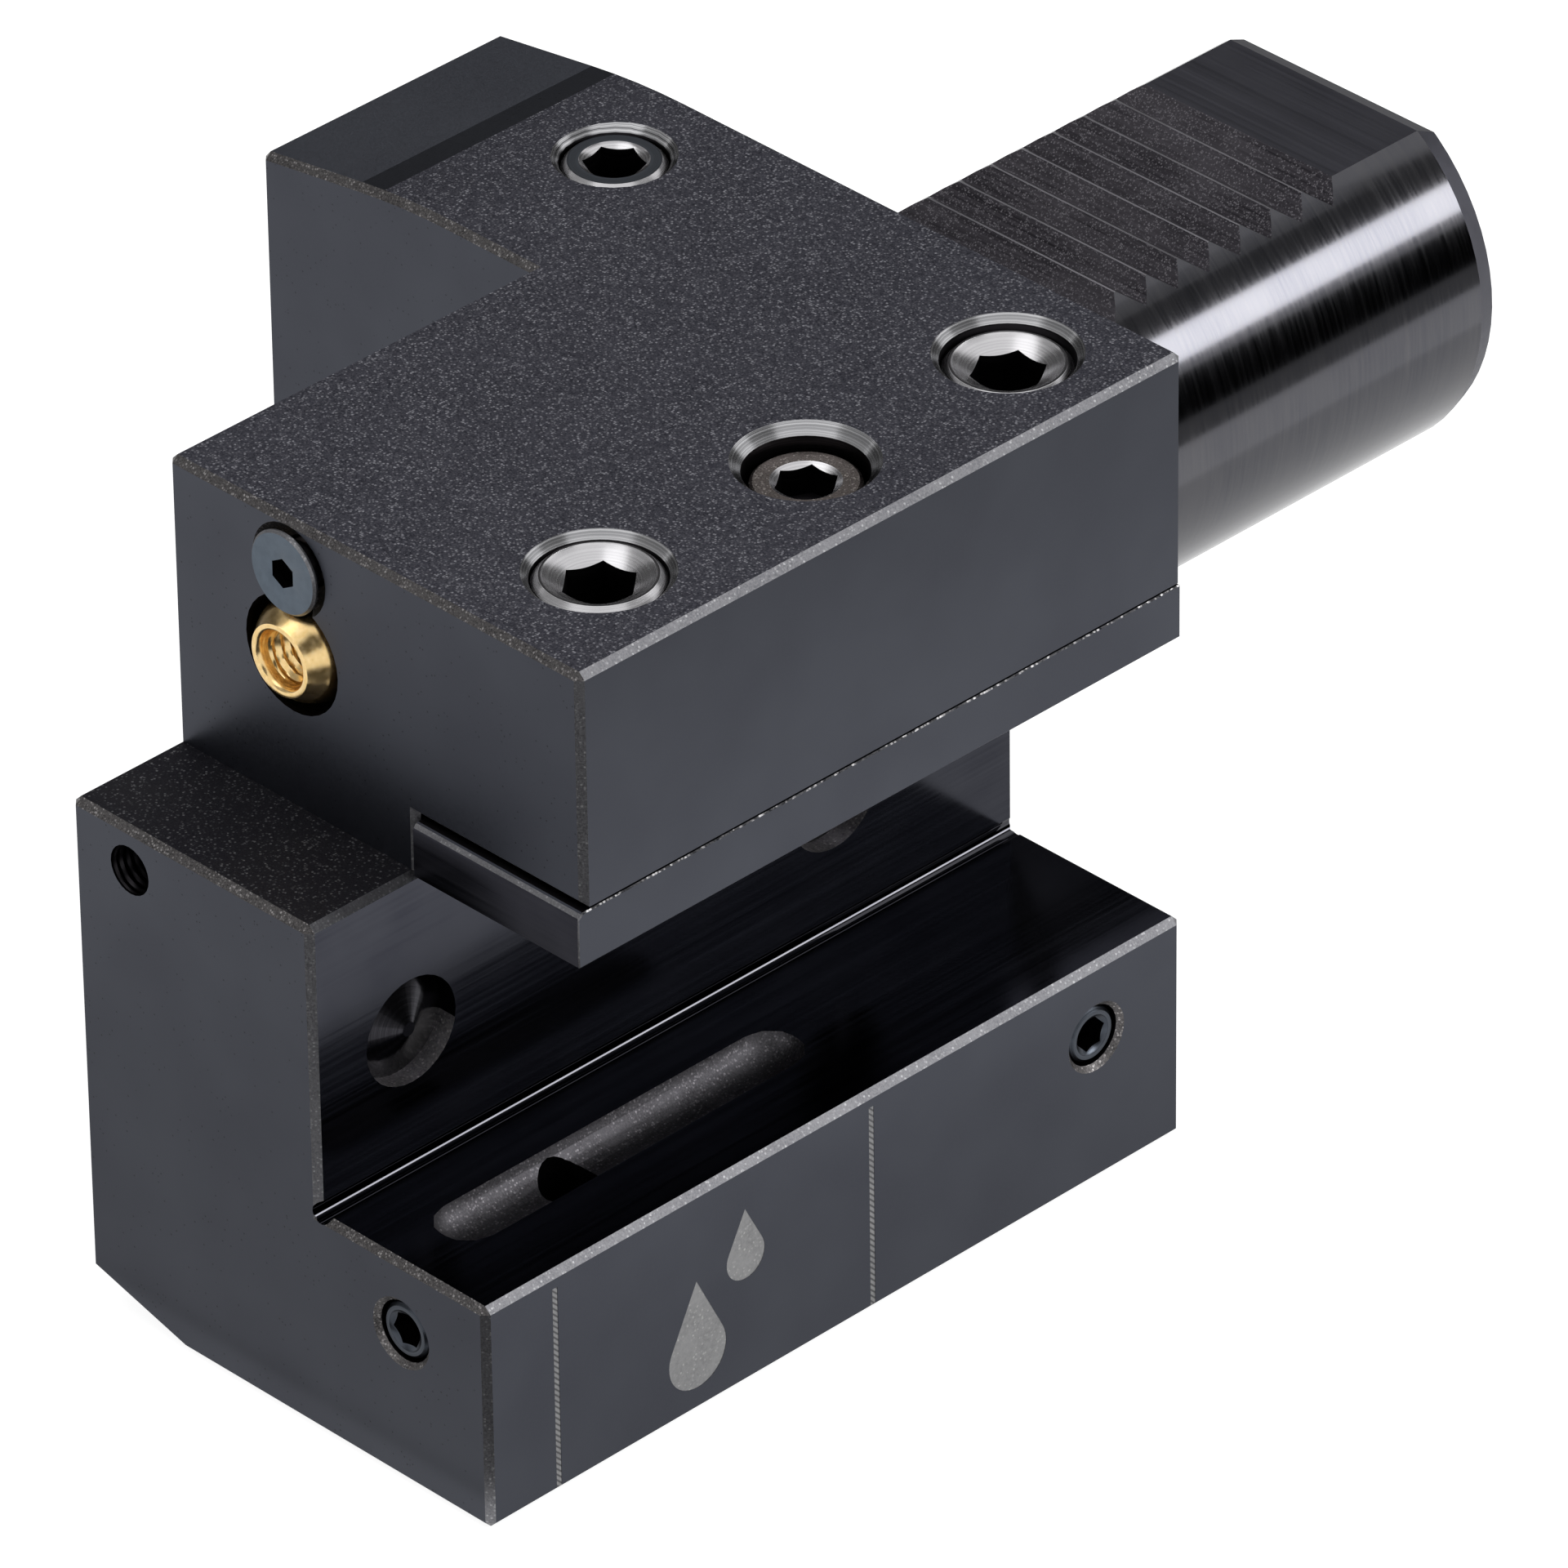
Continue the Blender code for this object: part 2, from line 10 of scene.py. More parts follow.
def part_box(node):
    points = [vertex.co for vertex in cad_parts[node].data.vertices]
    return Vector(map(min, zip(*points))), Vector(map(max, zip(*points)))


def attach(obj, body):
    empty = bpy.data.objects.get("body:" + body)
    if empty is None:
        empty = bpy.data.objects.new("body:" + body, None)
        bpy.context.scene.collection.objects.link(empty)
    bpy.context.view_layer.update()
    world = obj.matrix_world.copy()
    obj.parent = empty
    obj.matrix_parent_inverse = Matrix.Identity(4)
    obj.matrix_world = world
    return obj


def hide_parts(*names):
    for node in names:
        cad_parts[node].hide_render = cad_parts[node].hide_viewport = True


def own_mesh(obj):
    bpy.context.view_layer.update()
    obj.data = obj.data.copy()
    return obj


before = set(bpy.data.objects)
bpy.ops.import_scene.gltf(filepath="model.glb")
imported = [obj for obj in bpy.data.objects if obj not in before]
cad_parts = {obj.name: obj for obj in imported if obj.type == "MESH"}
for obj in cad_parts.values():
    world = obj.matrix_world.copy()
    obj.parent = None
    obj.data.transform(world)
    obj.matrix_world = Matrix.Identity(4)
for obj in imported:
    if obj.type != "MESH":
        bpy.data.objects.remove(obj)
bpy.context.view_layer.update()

scene = bpy.context.scene
mm = 0.001
bodyLow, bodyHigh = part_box("holder_body")
block = {"shankLength": 64.2, "axisHeight": 48.0, "halfWidth": 42.5, "top": 33.2, "front": -85.0,
         "headFront": -72.4, "slotWall": 21.9, "seat": -25.0, "roof": 10.0, "clampLine": 31.7,
         "frontClamp": -59.6, "barScrew": -35.1, "rearClamp": -10.6}
origin = Vector((0, bodyHigh.y - block["shankLength"] * mm, bodyLow.z + block["axisHeight"] * mm))


def at(across, along, up):
    return origin + Vector((across, along, up)) * mm


def fromFrame(point):
    return (Vector(point) - origin) / mm


def linked(name, data):
    piece = bpy.data.objects.new(name, data)
    scene.collection.objects.link(piece)
    return piece


# Nodes, for materials and for geometry
def newNode(tree, kind, **settings):
    node = tree.nodes.new(kind)
    for key, value in settings.items():
        setattr(node, key, value)
    return node


def maths(tree, operation, first, second=None):
    node = newNode(tree, "ShaderNodeMath", operation=operation)
    for socket, value in zip(node.inputs, (first, second)):
        if value is None:
            continue
        if isinstance(value, (int, float)):
            socket.default_value = value
        else:
            tree.links.new(value, socket)
    return node.outputs[0]


def noise(tree, point, scale, detail=3.0, rough=0.5):
    node = newNode(tree, "ShaderNodeTexNoise")
    node.inputs["Scale"].default_value = scale
    node.inputs["Detail"].default_value = detail
    node.inputs["Roughness"].default_value = rough
    tree.links.new(point, node.inputs["Vector"])
    return node.outputs["Fac"]


def ranged(tree, value, low, high, fromLow=0.0, fromHigh=1.0):
    node = newNode(tree, "ShaderNodeMapRange")
    node.inputs["From Min"].default_value = fromLow
    node.inputs["From Max"].default_value = fromHigh
    node.inputs["To Min"].default_value = low
    node.inputs["To Max"].default_value = high
    tree.links.new(value, node.inputs["Value"])
    return node.outputs["Result"]


# The camera, fitted to the photo's edges
photoView = {"place": (814.85, -801.71, 714.37), "right": (0.70325, 0.71085, -0.01124),
             "up": (-0.38147, 0.39064, 0.83778), "lens": 348.13, "sensor": 36, "clip": (0.01, 100)}


def makeCamera(view):
    data = bpy.data.cameras.new("photoCamera")
    data.lens = view["lens"]
    data.sensor_width = view["sensor"]
    data.clip_start, data.clip_end = view["clip"]
    right = Vector(view["right"]).normalized()
    back = right.cross(Vector(view["up"])).normalized()
    turn = Matrix((right, back.cross(right), back)).transposed().to_4x4()
    camera = linked("photoCamera", data)
    camera.matrix_world = Matrix.Translation(at(*view["place"])) @ turn
    scene.camera = camera


# The studio: floor, room, lamps and the cards that the polished metal mirrors
studio = {
    "floorSize": 8.0, "floorGap": 0.0001, "floorColor": (0.34, 0.34, 0.34), "floorGlow": 0.69,
    "floorSeen": 0.86, "roomLight": 0.74,
    "lamps": {  # middle, the way it faces, width, height, power
        "stripLight": ((920, 780, 500), (-1, 0, 0), 0.95, 0.345, 8.0),
        "topLight": ((-550, -450, 1500), (0.33, 0.25, -0.91), 1.2, 1.2, 3.5),
    },
    "cards": {  # middle, the way it faces, width, height, and the grey that metal sees in it
        "horizonCard": ((320, 300, 17), (-1, 0, 0), 0.70, 0.130, 0.0),
        "tableShade": ((230, 260, -47), (0, 0, 1), 0.18, 0.70, 0.33),
        "tableGlow": ((103, 100, -46), (0, 0, 1), 0.074, 0.34, 1.35),
        "cornerShade": ((150, -190, -47), (0, 0, 1), 0.21, 0.21, 0.06),
        "footShade": ((8, -105, -46.5), (0, 0, 1), 0.075, 0.036, 0.42),
        "nearShade": ((0, -115, -46), (0, 0, 1), 0.086, 0.055, 0.78),
        "frontCard": ((-600, -590, 580), (0.6, 0.546, -0.585), 0.80, 0.80, 0.35),
        "backCard": ((-743, 669, 515), (0.743, -0.669, 0), 0.72, 1.11, 0.10),
        "shankCard": ((-174, 985, 515), (0.174, -0.985, 0), 0.75, 1.11, 0.08),
        "leftCard": ((-998, 70, 515), (0.998, -0.07, 0), 0.75, 1.11, 0.08),
        "highShade": ((940, 800, 995), (-1, 0, 0), 1.20, 0.61, 0.16),
        "highCard": ((940, 800, 1425), (-1, 0, 0), 1.20, 0.25, 0.45),
        "cameraShade": ((520, -520, 500), (-0.585, 0.585, -0.56), 0.50, 0.42, 0.06),
    },
}


def facing(middle, way):
    way = Vector(way).normalized()
    return Matrix.Translation(at(*middle)) @ way.to_track_quat("Z", "Y").to_matrix().to_4x4()


def shownAs(tree, *rays):
    # 1 for the named kinds of ray, 0 for all others
    path = newNode(tree, "ShaderNodeLightPath")
    total = path.outputs[rays[0]]
    for ray in rays[1:]:
        total = maths(tree, "MAXIMUM", total, path.outputs[ray])
    return total


def bareMaterial(name):
    mat = bpy.data.materials.new(name)
    mat.use_nodes = True
    tree = mat.node_tree
    tree.nodes.remove(tree.nodes["Principled BSDF"])
    return mat, tree, tree.nodes["Material Output"].inputs["Surface"]


def flatGlow(name, grey):
    mat, tree, surface = bareMaterial(name)
    glow = newNode(tree, "ShaderNodeEmission")
    glow.inputs["Strength"].default_value = grey
    tree.links.new(glow.outputs[0], surface)
    return mat


def cardObject(name, place, width, height, mat):
    x, y = width / 2, height / 2
    mesh = bpy.data.meshes.new(name)
    mesh.from_pydata([(-x, -y, 0), (x, -y, 0), (x, y, 0), (-x, y, 0)], [], [(0, 1, 2, 3)])
    mesh.materials.append(mat)
    card = linked(name, mesh)
    card.matrix_world = place
    return card


def makeRoom(spec):
    world = bpy.data.worlds.new("studioRoom")
    scene.world = world
    world.use_nodes = True
    tree = world.node_tree
    room = tree.nodes["Background"]
    room.inputs["Color"].default_value = (1, 1, 1, 1)
    shown = shownAs(tree, "Is Camera Ray", "Is Glossy Ray", "Is Transmission Ray")
    level = ranged(tree, shown, spec["roomLight"], 1.0)  # white for camera and metal, softer as a light
    tree.links.new(level, room.inputs["Strength"])


def makeFloor(spec):
    mat, tree, surface = bareMaterial("paleFloor")
    matte = newNode(tree, "ShaderNodeBsdfDiffuse")
    matte.inputs["Color"].default_value = (*spec["floorColor"], 1)
    mirrorRays = shownAs(tree, "Is Glossy Ray", "Is Transmission Ray")
    mirrored = maths(tree, "MULTIPLY", mirrorRays, spec["floorGlow"])
    seen = maths(tree, "MULTIPLY", shownAs(tree, "Is Camera Ray"), spec["floorSeen"])
    glow = newNode(tree, "ShaderNodeEmission")
    tree.links.new(maths(tree, "MAXIMUM", mirrored, seen), glow.inputs["Strength"])
    both = newNode(tree, "ShaderNodeAddShader")
    tree.links.new(matte.outputs[0], both.inputs[0])
    tree.links.new(glow.outputs[0], both.inputs[1])
    side = newNode(tree, "ShaderNodeNewGeometry")
    clear = newNode(tree, "ShaderNodeBsdfTransparent")
    oneSided = newNode(tree, "ShaderNodeMixShader")  # a view from underneath looks through the floor
    tree.links.new(side.outputs["Backfacing"], oneSided.inputs[0])
    tree.links.new(both.outputs[0], oneSided.inputs[1])
    tree.links.new(clear.outputs[0], oneSided.inputs[2])
    tree.links.new(oneSided.outputs[0], surface)
    level = Matrix.Translation((0, 0, -spec["floorGap"]))
    floor = cardObject("paleFloor", level, spec["floorSize"], spec["floorSize"], mat)


def makeLamps(spec):
    for name, (middle, way, width, height, power) in spec["lamps"].items():
        lamp = bpy.data.lights.new(name, "AREA")
        lamp.shape = "RECTANGLE"
        lamp.size, lamp.size_y, lamp.energy = width, height, power
        light = linked(name, lamp)
        light.matrix_world = facing(middle, -Vector(way))  # a lamp shines along its own -Z


def makeCards(spec):
    for name, (middle, way, width, height, grey) in spec["cards"].items():
        card = cardObject(name, facing(middle, way), width, height, flatGlow(name, grey))
        card.visible_camera = card.visible_diffuse = card.visible_shadow = False


def makeStudio(spec):
    makeRoom(spec)
    makeFloor(spec)
    makeLamps(spec)
    makeCards(spec)
    scene.view_settings.view_transform = "Standard"


# The finishes, one procedural material each
noiseSpan = {  # the stretch of each noise that runs from one look to the other
    "cloud": (0.35, 0.65), "grain": (0.35, 0.7), "hatch": (-0.2, 0.9), "line": (0.3, 0.75),
    "patch": (0.4, 0.7), "ring": (0.32, 0.68), "plain": (0.3, 0.7), "polish": (0.3, 0.7),
}
# pattern units per metre, few of them along the marks
grindStretch = {"X": (12, 1000, 1000), "Y": (1000, 12, 1000), "round": (45, 1000, 45)}
# speckSize and faintestSpeck size the painted glints, pitSize the pits
speckSize, pitSize, faintestSpeck = 0.6, 0.32, 0.25  # radius as a share of a cell, and brightness


def objectPoint(tree, scale=(1000, 1000, 1000)):
    place = newNode(tree, "ShaderNodeTexCoord")
    mapping = newNode(tree, "ShaderNodeMapping")  # object metres to pattern millimetres
    mapping.inputs["Scale"].default_value = scale
    tree.links.new(place.outputs["Object"], mapping.inputs["Vector"])
    return mapping.outputs["Vector"]


def blendColors(tree, factor, first, second):
    node = newNode(tree, "ShaderNodeMix", data_type="RGBA")
    tree.links.new(factor, node.inputs["Factor"])
    inputs = [s for s in node.inputs if s.type == "RGBA"]
    for socket, value in zip(inputs, (first, second)):
        if isinstance(value, tuple):
            socket.default_value = (*value, 1)
        else:
            tree.links.new(value, socket)
    return [s for s in node.outputs if s.type == "RGBA"][0]


def specks(tree, point, cell, size, share, skew=1.0):
    # spots on a random share of the cells of a fine Voronoi pattern: the bright ones are painted glints, the
    # dark ones pits
    node = newNode(tree, "ShaderNodeTexVoronoi", feature="F1")
    node.inputs["Scale"].default_value = 1 / cell
    tree.links.new(point, node.inputs["Vector"])
    near = ranged(tree, node.outputs["Distance"], 1.0, 0.0, size * 0.5, size)
    pick = newNode(tree, "ShaderNodeSeparateColor")
    tree.links.new(node.outputs["Color"], pick.inputs["Color"])
    chosen = maths(tree, "GREATER_THAN", pick.outputs[0], 1 - share)
    strength = maths(tree, "POWER", ranged(tree, pick.outputs[1], faintestSpeck, 1.0), skew)
    return maths(tree, "MULTIPLY", maths(tree, "MULTIPLY", near, chosen), strength)


def startMetal(name, metallic=1.0):
    mat = bpy.data.materials.new(name)
    mat.use_nodes = True
    tree = mat.node_tree
    shader = tree.nodes["Principled BSDF"]
    shader.inputs["Metallic"].default_value = metallic
    return mat, tree, shader


def finishMetal(tree, shader, spec, tone, pattern):
    # one pattern varies the polish and raises the surface
    tree.links.new(tone, shader.inputs["Base Color"])
    polish = ranged(tree, pattern, *spec["rough"], *noiseSpan["polish"])
    tree.links.new(polish, shader.inputs["Roughness"])
    bump = newNode(tree, "ShaderNodeBump")
    bump.inputs["Distance"].default_value = spec["bump"] * mm
    tree.links.new(pattern, bump.inputs["Height"])
    tree.links.new(bump.outputs["Normal"], shader.inputs["Normal"])


def grainyMetal(name, spec):
    # dark oxide with a cloudy tone, fine grain, painted glints on random cells and small dark pits
    mat, tree, shader = startMetal(name)
    point = objectPoint(tree)
    cloud = noise(tree, point, 1 / spec["cloud"], 2.0)
    grain = noise(tree, point, 1 / spec["grain"], 4.0, 0.65)
    base = blendColors(tree, ranged(tree, cloud, 0.0, 1.0, *noiseSpan["cloud"]), spec["dark"], spec["light"])
    brightness = ranged(tree, grain, 0.0, spec["grainTone"], *noiseSpan["grain"])
    tone = blendColors(tree, brightness, base, spec["bright"])
    # painted glints: bright specks blended into the colour
    if "speckShare" in spec:
        skew = spec.get("speckSkew", 1.0)
        paintedGlints = specks(tree, point, spec["speckCell"], speckSize, spec["speckShare"], skew)
        tone = blendColors(tree, paintedGlints, tone, spec["speck"])
    if "hatch" in spec:  # slanted burn lines
        split = newNode(tree, "ShaderNodeSeparateXYZ")
        tree.links.new(point, split.inputs[0])
        slant = maths(tree, "ADD", split.outputs["Y"], split.outputs["Z"])
        wave = maths(tree, "SINE", maths(tree, "MULTIPLY", slant, math.tau / spec["hatch"]))
        tone = blendColors(tree, ranged(tree, wave, 0.0, 0.8, *noiseSpan["hatch"]), tone, spec["gap"])
    if "pitShare" in spec:
        pits = specks(tree, point, spec["pitCell"], pitSize, spec["pitShare"])
        tone = blendColors(tree, pits, tone, spec["pit"])
    finishMetal(tree, shader, spec, tone, grain)
    return mat


def groundMetal(name, spec):
    # fine parallel grinding marks that run along one axis
    mat, tree, shader = startMetal(name)
    line = noise(tree, objectPoint(tree, grindStretch[spec["run"]]), spec["lines"], 5.0, 0.7)
    cloud = noise(tree, objectPoint(tree), 0.12, 2.0)
    base = blendColors(tree, ranged(tree, line, 0.0, 1.0, *noiseSpan["line"]), spec["dark"], spec["light"])
    tone = blendColors(tree, ranged(tree, cloud, 0.0, 0.5, *noiseSpan["patch"]), base, spec["bright"])
    # painted glints: bright specks blended into the colour
    if "speckShare" in spec:
        paintedGlints = specks(tree, objectPoint(tree), spec["speckCell"], speckSize, spec["speckShare"])
        tone = blendColors(tree, paintedGlints, tone, spec["speck"])
    finishMetal(tree, shader, spec, tone, line)
    return mat


def turnedMetal(name, spec):
    # rings cut by a tool: the attribute "turned" holds the radius or depth in millimetres
    mat, tree, shader = startMetal(name)
    reach = newNode(tree, "ShaderNodeAttribute", attribute_name="turned")
    wobble = maths(tree, "MULTIPLY", noise(tree, objectPoint(tree), 0.6, 2.0), spec["wobble"])
    place = newNode(tree, "ShaderNodeCombineXYZ")
    tree.links.new(maths(tree, "ADD", reach.outputs["Fac"], wobble), place.inputs["X"])
    rings = noise(tree, place.outputs[0], 1 / spec["ring"], 3.0, 0.6)
    tone = blendColors(tree, ranged(tree, rings, 0.0, 1.0, *noiseSpan["ring"]), spec["dark"], spec["light"])
    finishMetal(tree, shader, spec, tone, rings)
    return mat


def plainMetal(name, spec):
    mat, tree, shader = startMetal(name, spec.get("metallic", 1.0))
    grain = noise(tree, objectPoint(tree), 1 / spec["grain"], 3.0)
    tone = blendColors(tree, ranged(tree, grain, 0.0, 1.0, *noiseSpan["plain"]), spec["dark"], spec["light"])
    finishMetal(tree, shader, spec, tone, grain)
    return mat


# speck is the colour of the painted glints, and speckCell, speckShare and speckSkew set their spacing, share
# and spread
finishes = {
    "blasted": {"dark": (0.024, 0.024, 0.035), "light": (0.035, 0.035, 0.048),
                "bright": (0.150, 0.150, 0.177), "grainTone": 0.85, "cloud": 9.0, "grain": 0.16,
                "speckCell": 0.24, "speckShare": 0.65, "speckSkew": 2.6, "speck": (0.410, 0.410, 0.450),
                "rough": (0.48, 0.66), "bump": 0.020},
    # painted shade: a darker copy of the blasted finish for the low step in front of the head, which the head
    # shades
    "shadedStepBlasted": {"dark": (0.015, 0.014, 0.021), "light": (0.022, 0.021, 0.026),
                    "bright": (0.060, 0.059, 0.066), "grainTone": 0.8, "cloud": 9.0, "grain": 0.16,
                    "speckCell": 0.24, "speckShare": 0.35, "speckSkew": 2.4, "speck": (0.240, 0.240, 0.252),
                    "rough": (0.48, 0.66), "bump": 0.014},
    "satin": {"dark": (0.048, 0.051, 0.064), "light": (0.057, 0.061, 0.075),
              "bright": (0.063, 0.067, 0.081), "grainTone": 0.5, "cloud": 12.0, "grain": 0.22,
              "pitCell": 0.35, "pitShare": 0.08, "pit": (0.022, 0.022, 0.026), "rough": (0.33, 0.44),
              "bump": 0.003},
    # painted highlight: chamfers take a far lighter colour than the faces, for the light their edges catch
    "litChamfer": {"dark": (0.125, 0.125, 0.136), "light": (0.165, 0.165, 0.176),
                "bright": (0.27, 0.27, 0.285), "grainTone": 0.8, "cloud": 4.0, "grain": 0.18,
                "speckCell": 0.24, "speckShare": 0.25, "speckSkew": 1.8, "speck": (0.42, 0.42, 0.43),
                "rough": (0.34, 0.50), "bump": 0.008},
    # painted shade: a darker copy of the chamfer colour, for chamfers facing front and up and for the mouths
    # of the smaller holes
    "shadedChamfer": {"dark": (0.042, 0.040, 0.041), "light": (0.075, 0.072, 0.073),
                     "bright": (0.20, 0.19, 0.19), "grainTone": 0.85, "cloud": 3.0, "grain": 0.16,
                     "speckCell": 0.22, "speckShare": 0.45, "speckSkew": 2.0, "speck": (0.46, 0.44, 0.44),
                     "rough": (0.34, 0.50), "bump": 0.012},
    # painted shadow and painted glints: near black with white specks, for the dark joint line under the head
    "jointShadowEdge": {"dark": (0.012, 0.012, 0.014), "light": (0.020, 0.020, 0.024),
                 "bright": (0.16, 0.16, 0.17), "grainTone": 0.8, "cloud": 3.0, "grain": 0.30,
                 "speckCell": 0.34, "speckShare": 0.45, "speck": (0.80, 0.79, 0.80), "rough": (0.34, 0.50),
                 "bump": 0.008},
    "relief": {"run": "Y", "dark": (0.05, 0.05, 0.058), "light": (0.07, 0.07, 0.078),
               "bright": (0.075, 0.075, 0.082), "lines": 2.2, "rough": (0.05, 0.09), "bump": 0.0004},
    "seatGround": {"run": "Y", "dark": (0.024, 0.025, 0.034), "light": (0.042, 0.044, 0.055),
                   "bright": (0.050, 0.052, 0.063), "lines": 2.2, "rough": (0.12, 0.22), "bump": 0.0008},
    "faceGround": {"run": "X", "dark": (0.060, 0.062, 0.070), "light": (0.090, 0.090, 0.10),
                   "bright": (0.10, 0.10, 0.11), "lines": 1.6, "rough": (0.22, 0.34), "bump": 0.0012},
    "shankGround": {"run": "round", "dark": (0.070, 0.071, 0.082), "light": (0.096, 0.095, 0.102),
                    "bright": (0.100, 0.099, 0.106), "lines": 2.6, "rough": (0.10, 0.17), "bump": 0.0012},
    "flatGround": {"run": "X", "dark": (0.065, 0.065, 0.078), "light": (0.091, 0.091, 0.108),
                   "bright": (0.104, 0.104, 0.122), "lines": 1.6, "rough": (0.42, 0.54), "bump": 0.0015},
    "tooth": {"run": "X", "dark": (0.012, 0.011, 0.014), "light": (0.088, 0.082, 0.094),
              "bright": (0.098, 0.092, 0.104), "lines": 3.4, "rough": (0.36, 0.54), "bump": 0.006,
              "speckCell": 0.18, "speckShare": 0.45, "speck": (0.21, 0.20, 0.22)},
    # painted highlight: the teeth's tip lands are far lighter than the flanks, for the light lines along the
    # ridges
    "toothTipHighlight": {"run": "X", "dark": (0.36, 0.35, 0.38), "light": (0.72, 0.70, 0.76),
                 "bright": (0.66, 0.64, 0.70), "lines": 2.0, "rough": (0.28, 0.40), "bump": 0.002},
    "channel": {"dark": (0.042, 0.040, 0.044), "light": (0.064, 0.062, 0.068),
                "bright": (0.120, 0.116, 0.126), "grainTone": 0.8, "cloud": 3.0, "grain": 0.18,
                "speckCell": 0.22, "speckShare": 0.45, "speckSkew": 2.4, "speck": (0.23, 0.22, 0.235),
                "rough": (0.44, 0.58), "bump": 0.010},
    # painted light: the upward wall of the slot-wall pockets is far lighter than their other faces
    "pocket": {"dark": (0.20, 0.19, 0.20), "light": (0.34, 0.325, 0.335), "bright": (0.62, 0.60, 0.60),
               "grainTone": 0.8, "cloud": 1.5, "grain": 0.22, "speckCell": 0.26, "speckShare": 0.40,
               "speckSkew": 1.4, "speck": (0.85, 0.82, 0.81), "rough": (0.34, 0.50), "bump": 0.010},
    "pocketFloor": {"ring": 0.2, "wobble": 0.03, "dark": (0.012, 0.012, 0.015),
                    "light": (0.058, 0.057, 0.064), "rough": (0.14, 0.22), "bump": 0.003},
    "rim": {"ring": 0.11, "wobble": 0.04, "dark": (0.05, 0.05, 0.055), "light": (0.74, 0.74, 0.76),
            "rough": (0.14, 0.26), "bump": 0.006},
    # painted shade: darker than the outer faces, so that hole walls, threads in holes and sockets read black
    "bore": {"ring": 0.35, "wobble": 0.08, "dark": (0.014, 0.013, 0.015), "light": (0.034, 0.032, 0.035),
             "rough": (0.26, 0.42), "bump": 0.004},
    "screwSteel": {"ring": 0.11, "wobble": 0.03, "dark": (0.46, 0.45, 0.465), "light": (0.68, 0.675, 0.69),
                   "rough": (0.20, 0.30), "bump": 0.0016},
    "screwRing": {"ring": 0.10, "wobble": 0.03, "dark": (0.081, 0.077, 0.085),
                  "light": (0.468, 0.459, 0.477), "rough": (0.14, 0.26), "bump": 0.003},
    "plugRing": {"ring": 0.25, "wobble": 0.05, "dark": (0.125, 0.138, 0.162),
                 "light": (0.210, 0.232, 0.268), "rough": (0.24, 0.36), "bump": 0.002},
    # painted light: a lighter copy of satin for the flange's slanted top, which otherwise mirrors dark cards
    "slope": {"dark": (0.141, 0.150, 0.183), "light": (0.163, 0.174, 0.209),
              "bright": (0.180, 0.191, 0.229), "grainTone": 0.5, "cloud": 12.0, "grain": 0.22,
              "rough": (0.33, 0.44), "bump": 0.003},
    "plugFace": {"ring": 0.25, "wobble": 0.05, "dark": (0.040, 0.046, 0.056),
                 "light": (0.078, 0.087, 0.104), "rough": (0.24, 0.36), "bump": 0.002},
    "threadSteel": {"grain": 0.3, "dark": (0.030, 0.026, 0.025), "light": (0.075, 0.066, 0.062),
                    "rough": (0.24, 0.40), "bump": 0.003},
    "capSteel": {"dark": (0.141, 0.122, 0.116), "light": (0.218, 0.187, 0.179),
                 "bright": (0.371, 0.328, 0.306), "grainTone": 0.8, "cloud": 2.0, "grain": 0.15,
                 "speckCell": 0.20, "speckShare": 0.40, "speckSkew": 2.0, "speck": (0.830, 0.765, 0.721),
                 "rough": (0.24, 0.42), "bump": 0.004},
    "springSteel": {"grain": 0.5, "dark": (0.40, 0.40, 0.42), "light": (0.52, 0.52, 0.54),
                    "rough": (0.2, 0.32), "bump": 0.001},
    "brass": {"grain": 0.5, "dark": (0.84, 0.58, 0.24), "light": (0.96, 0.71, 0.36), "rough": (0.19, 0.27),
              "bump": 0.0006},
    "bluedSteel": {"grain": 0.8, "dark": (0.085, 0.105, 0.13), "light": (0.105, 0.13, 0.16),
                   "rough": (0.28, 0.38), "bump": 0.001},
    "laser": {"dark": (0.22, 0.22, 0.225), "light": (0.27, 0.27, 0.275), "bright": (0.36, 0.36, 0.36),
              "grainTone": 0.8, "cloud": 3.0, "grain": 0.3, "speckCell": 0.3, "speckShare": 0.2,
              "speck": (0.46, 0.46, 0.45), "rough": (0.5, 0.65), "bump": 0.004},
    "laserLine": {"dark": (0.22, 0.22, 0.225), "light": (0.27, 0.27, 0.275), "bright": (0.36, 0.36, 0.36),
                  "grainTone": 0.8, "cloud": 3.0, "grain": 0.3, "hatch": 0.60, "gap": (0.06, 0.06, 0.065),
                  "rough": (0.5, 0.65), "bump": 0.004},
    "barFace": {"run": "X", "dark": (0.018, 0.018, 0.024), "light": (0.032, 0.032, 0.040),
                "bright": (0.04, 0.04, 0.05), "lines": 1.6, "rough": (0.26, 0.4), "bump": 0.0015},
    "rubber": {"grain": 0.4, "dark": (0.010, 0.010, 0.010), "light": (0.020, 0.020, 0.020),
               "rough": (0.5, 0.7), "bump": 0.006, "metallic": 0.0},
}


def makeFinish(name, spec):
    if "run" in spec:
        return groundMetal(name, spec)
    if "ring" in spec:
        return turnedMetal(name, spec)
    return (grainyMetal if "cloud" in spec else plainMetal)(name, spec)


# Mesh work that the pieces share
# degrees below which an edge stays smooth, on a rounded finish, a turned piece and a seal
roundAngle, turnedAngle, sealAngle = 45, 32, 60


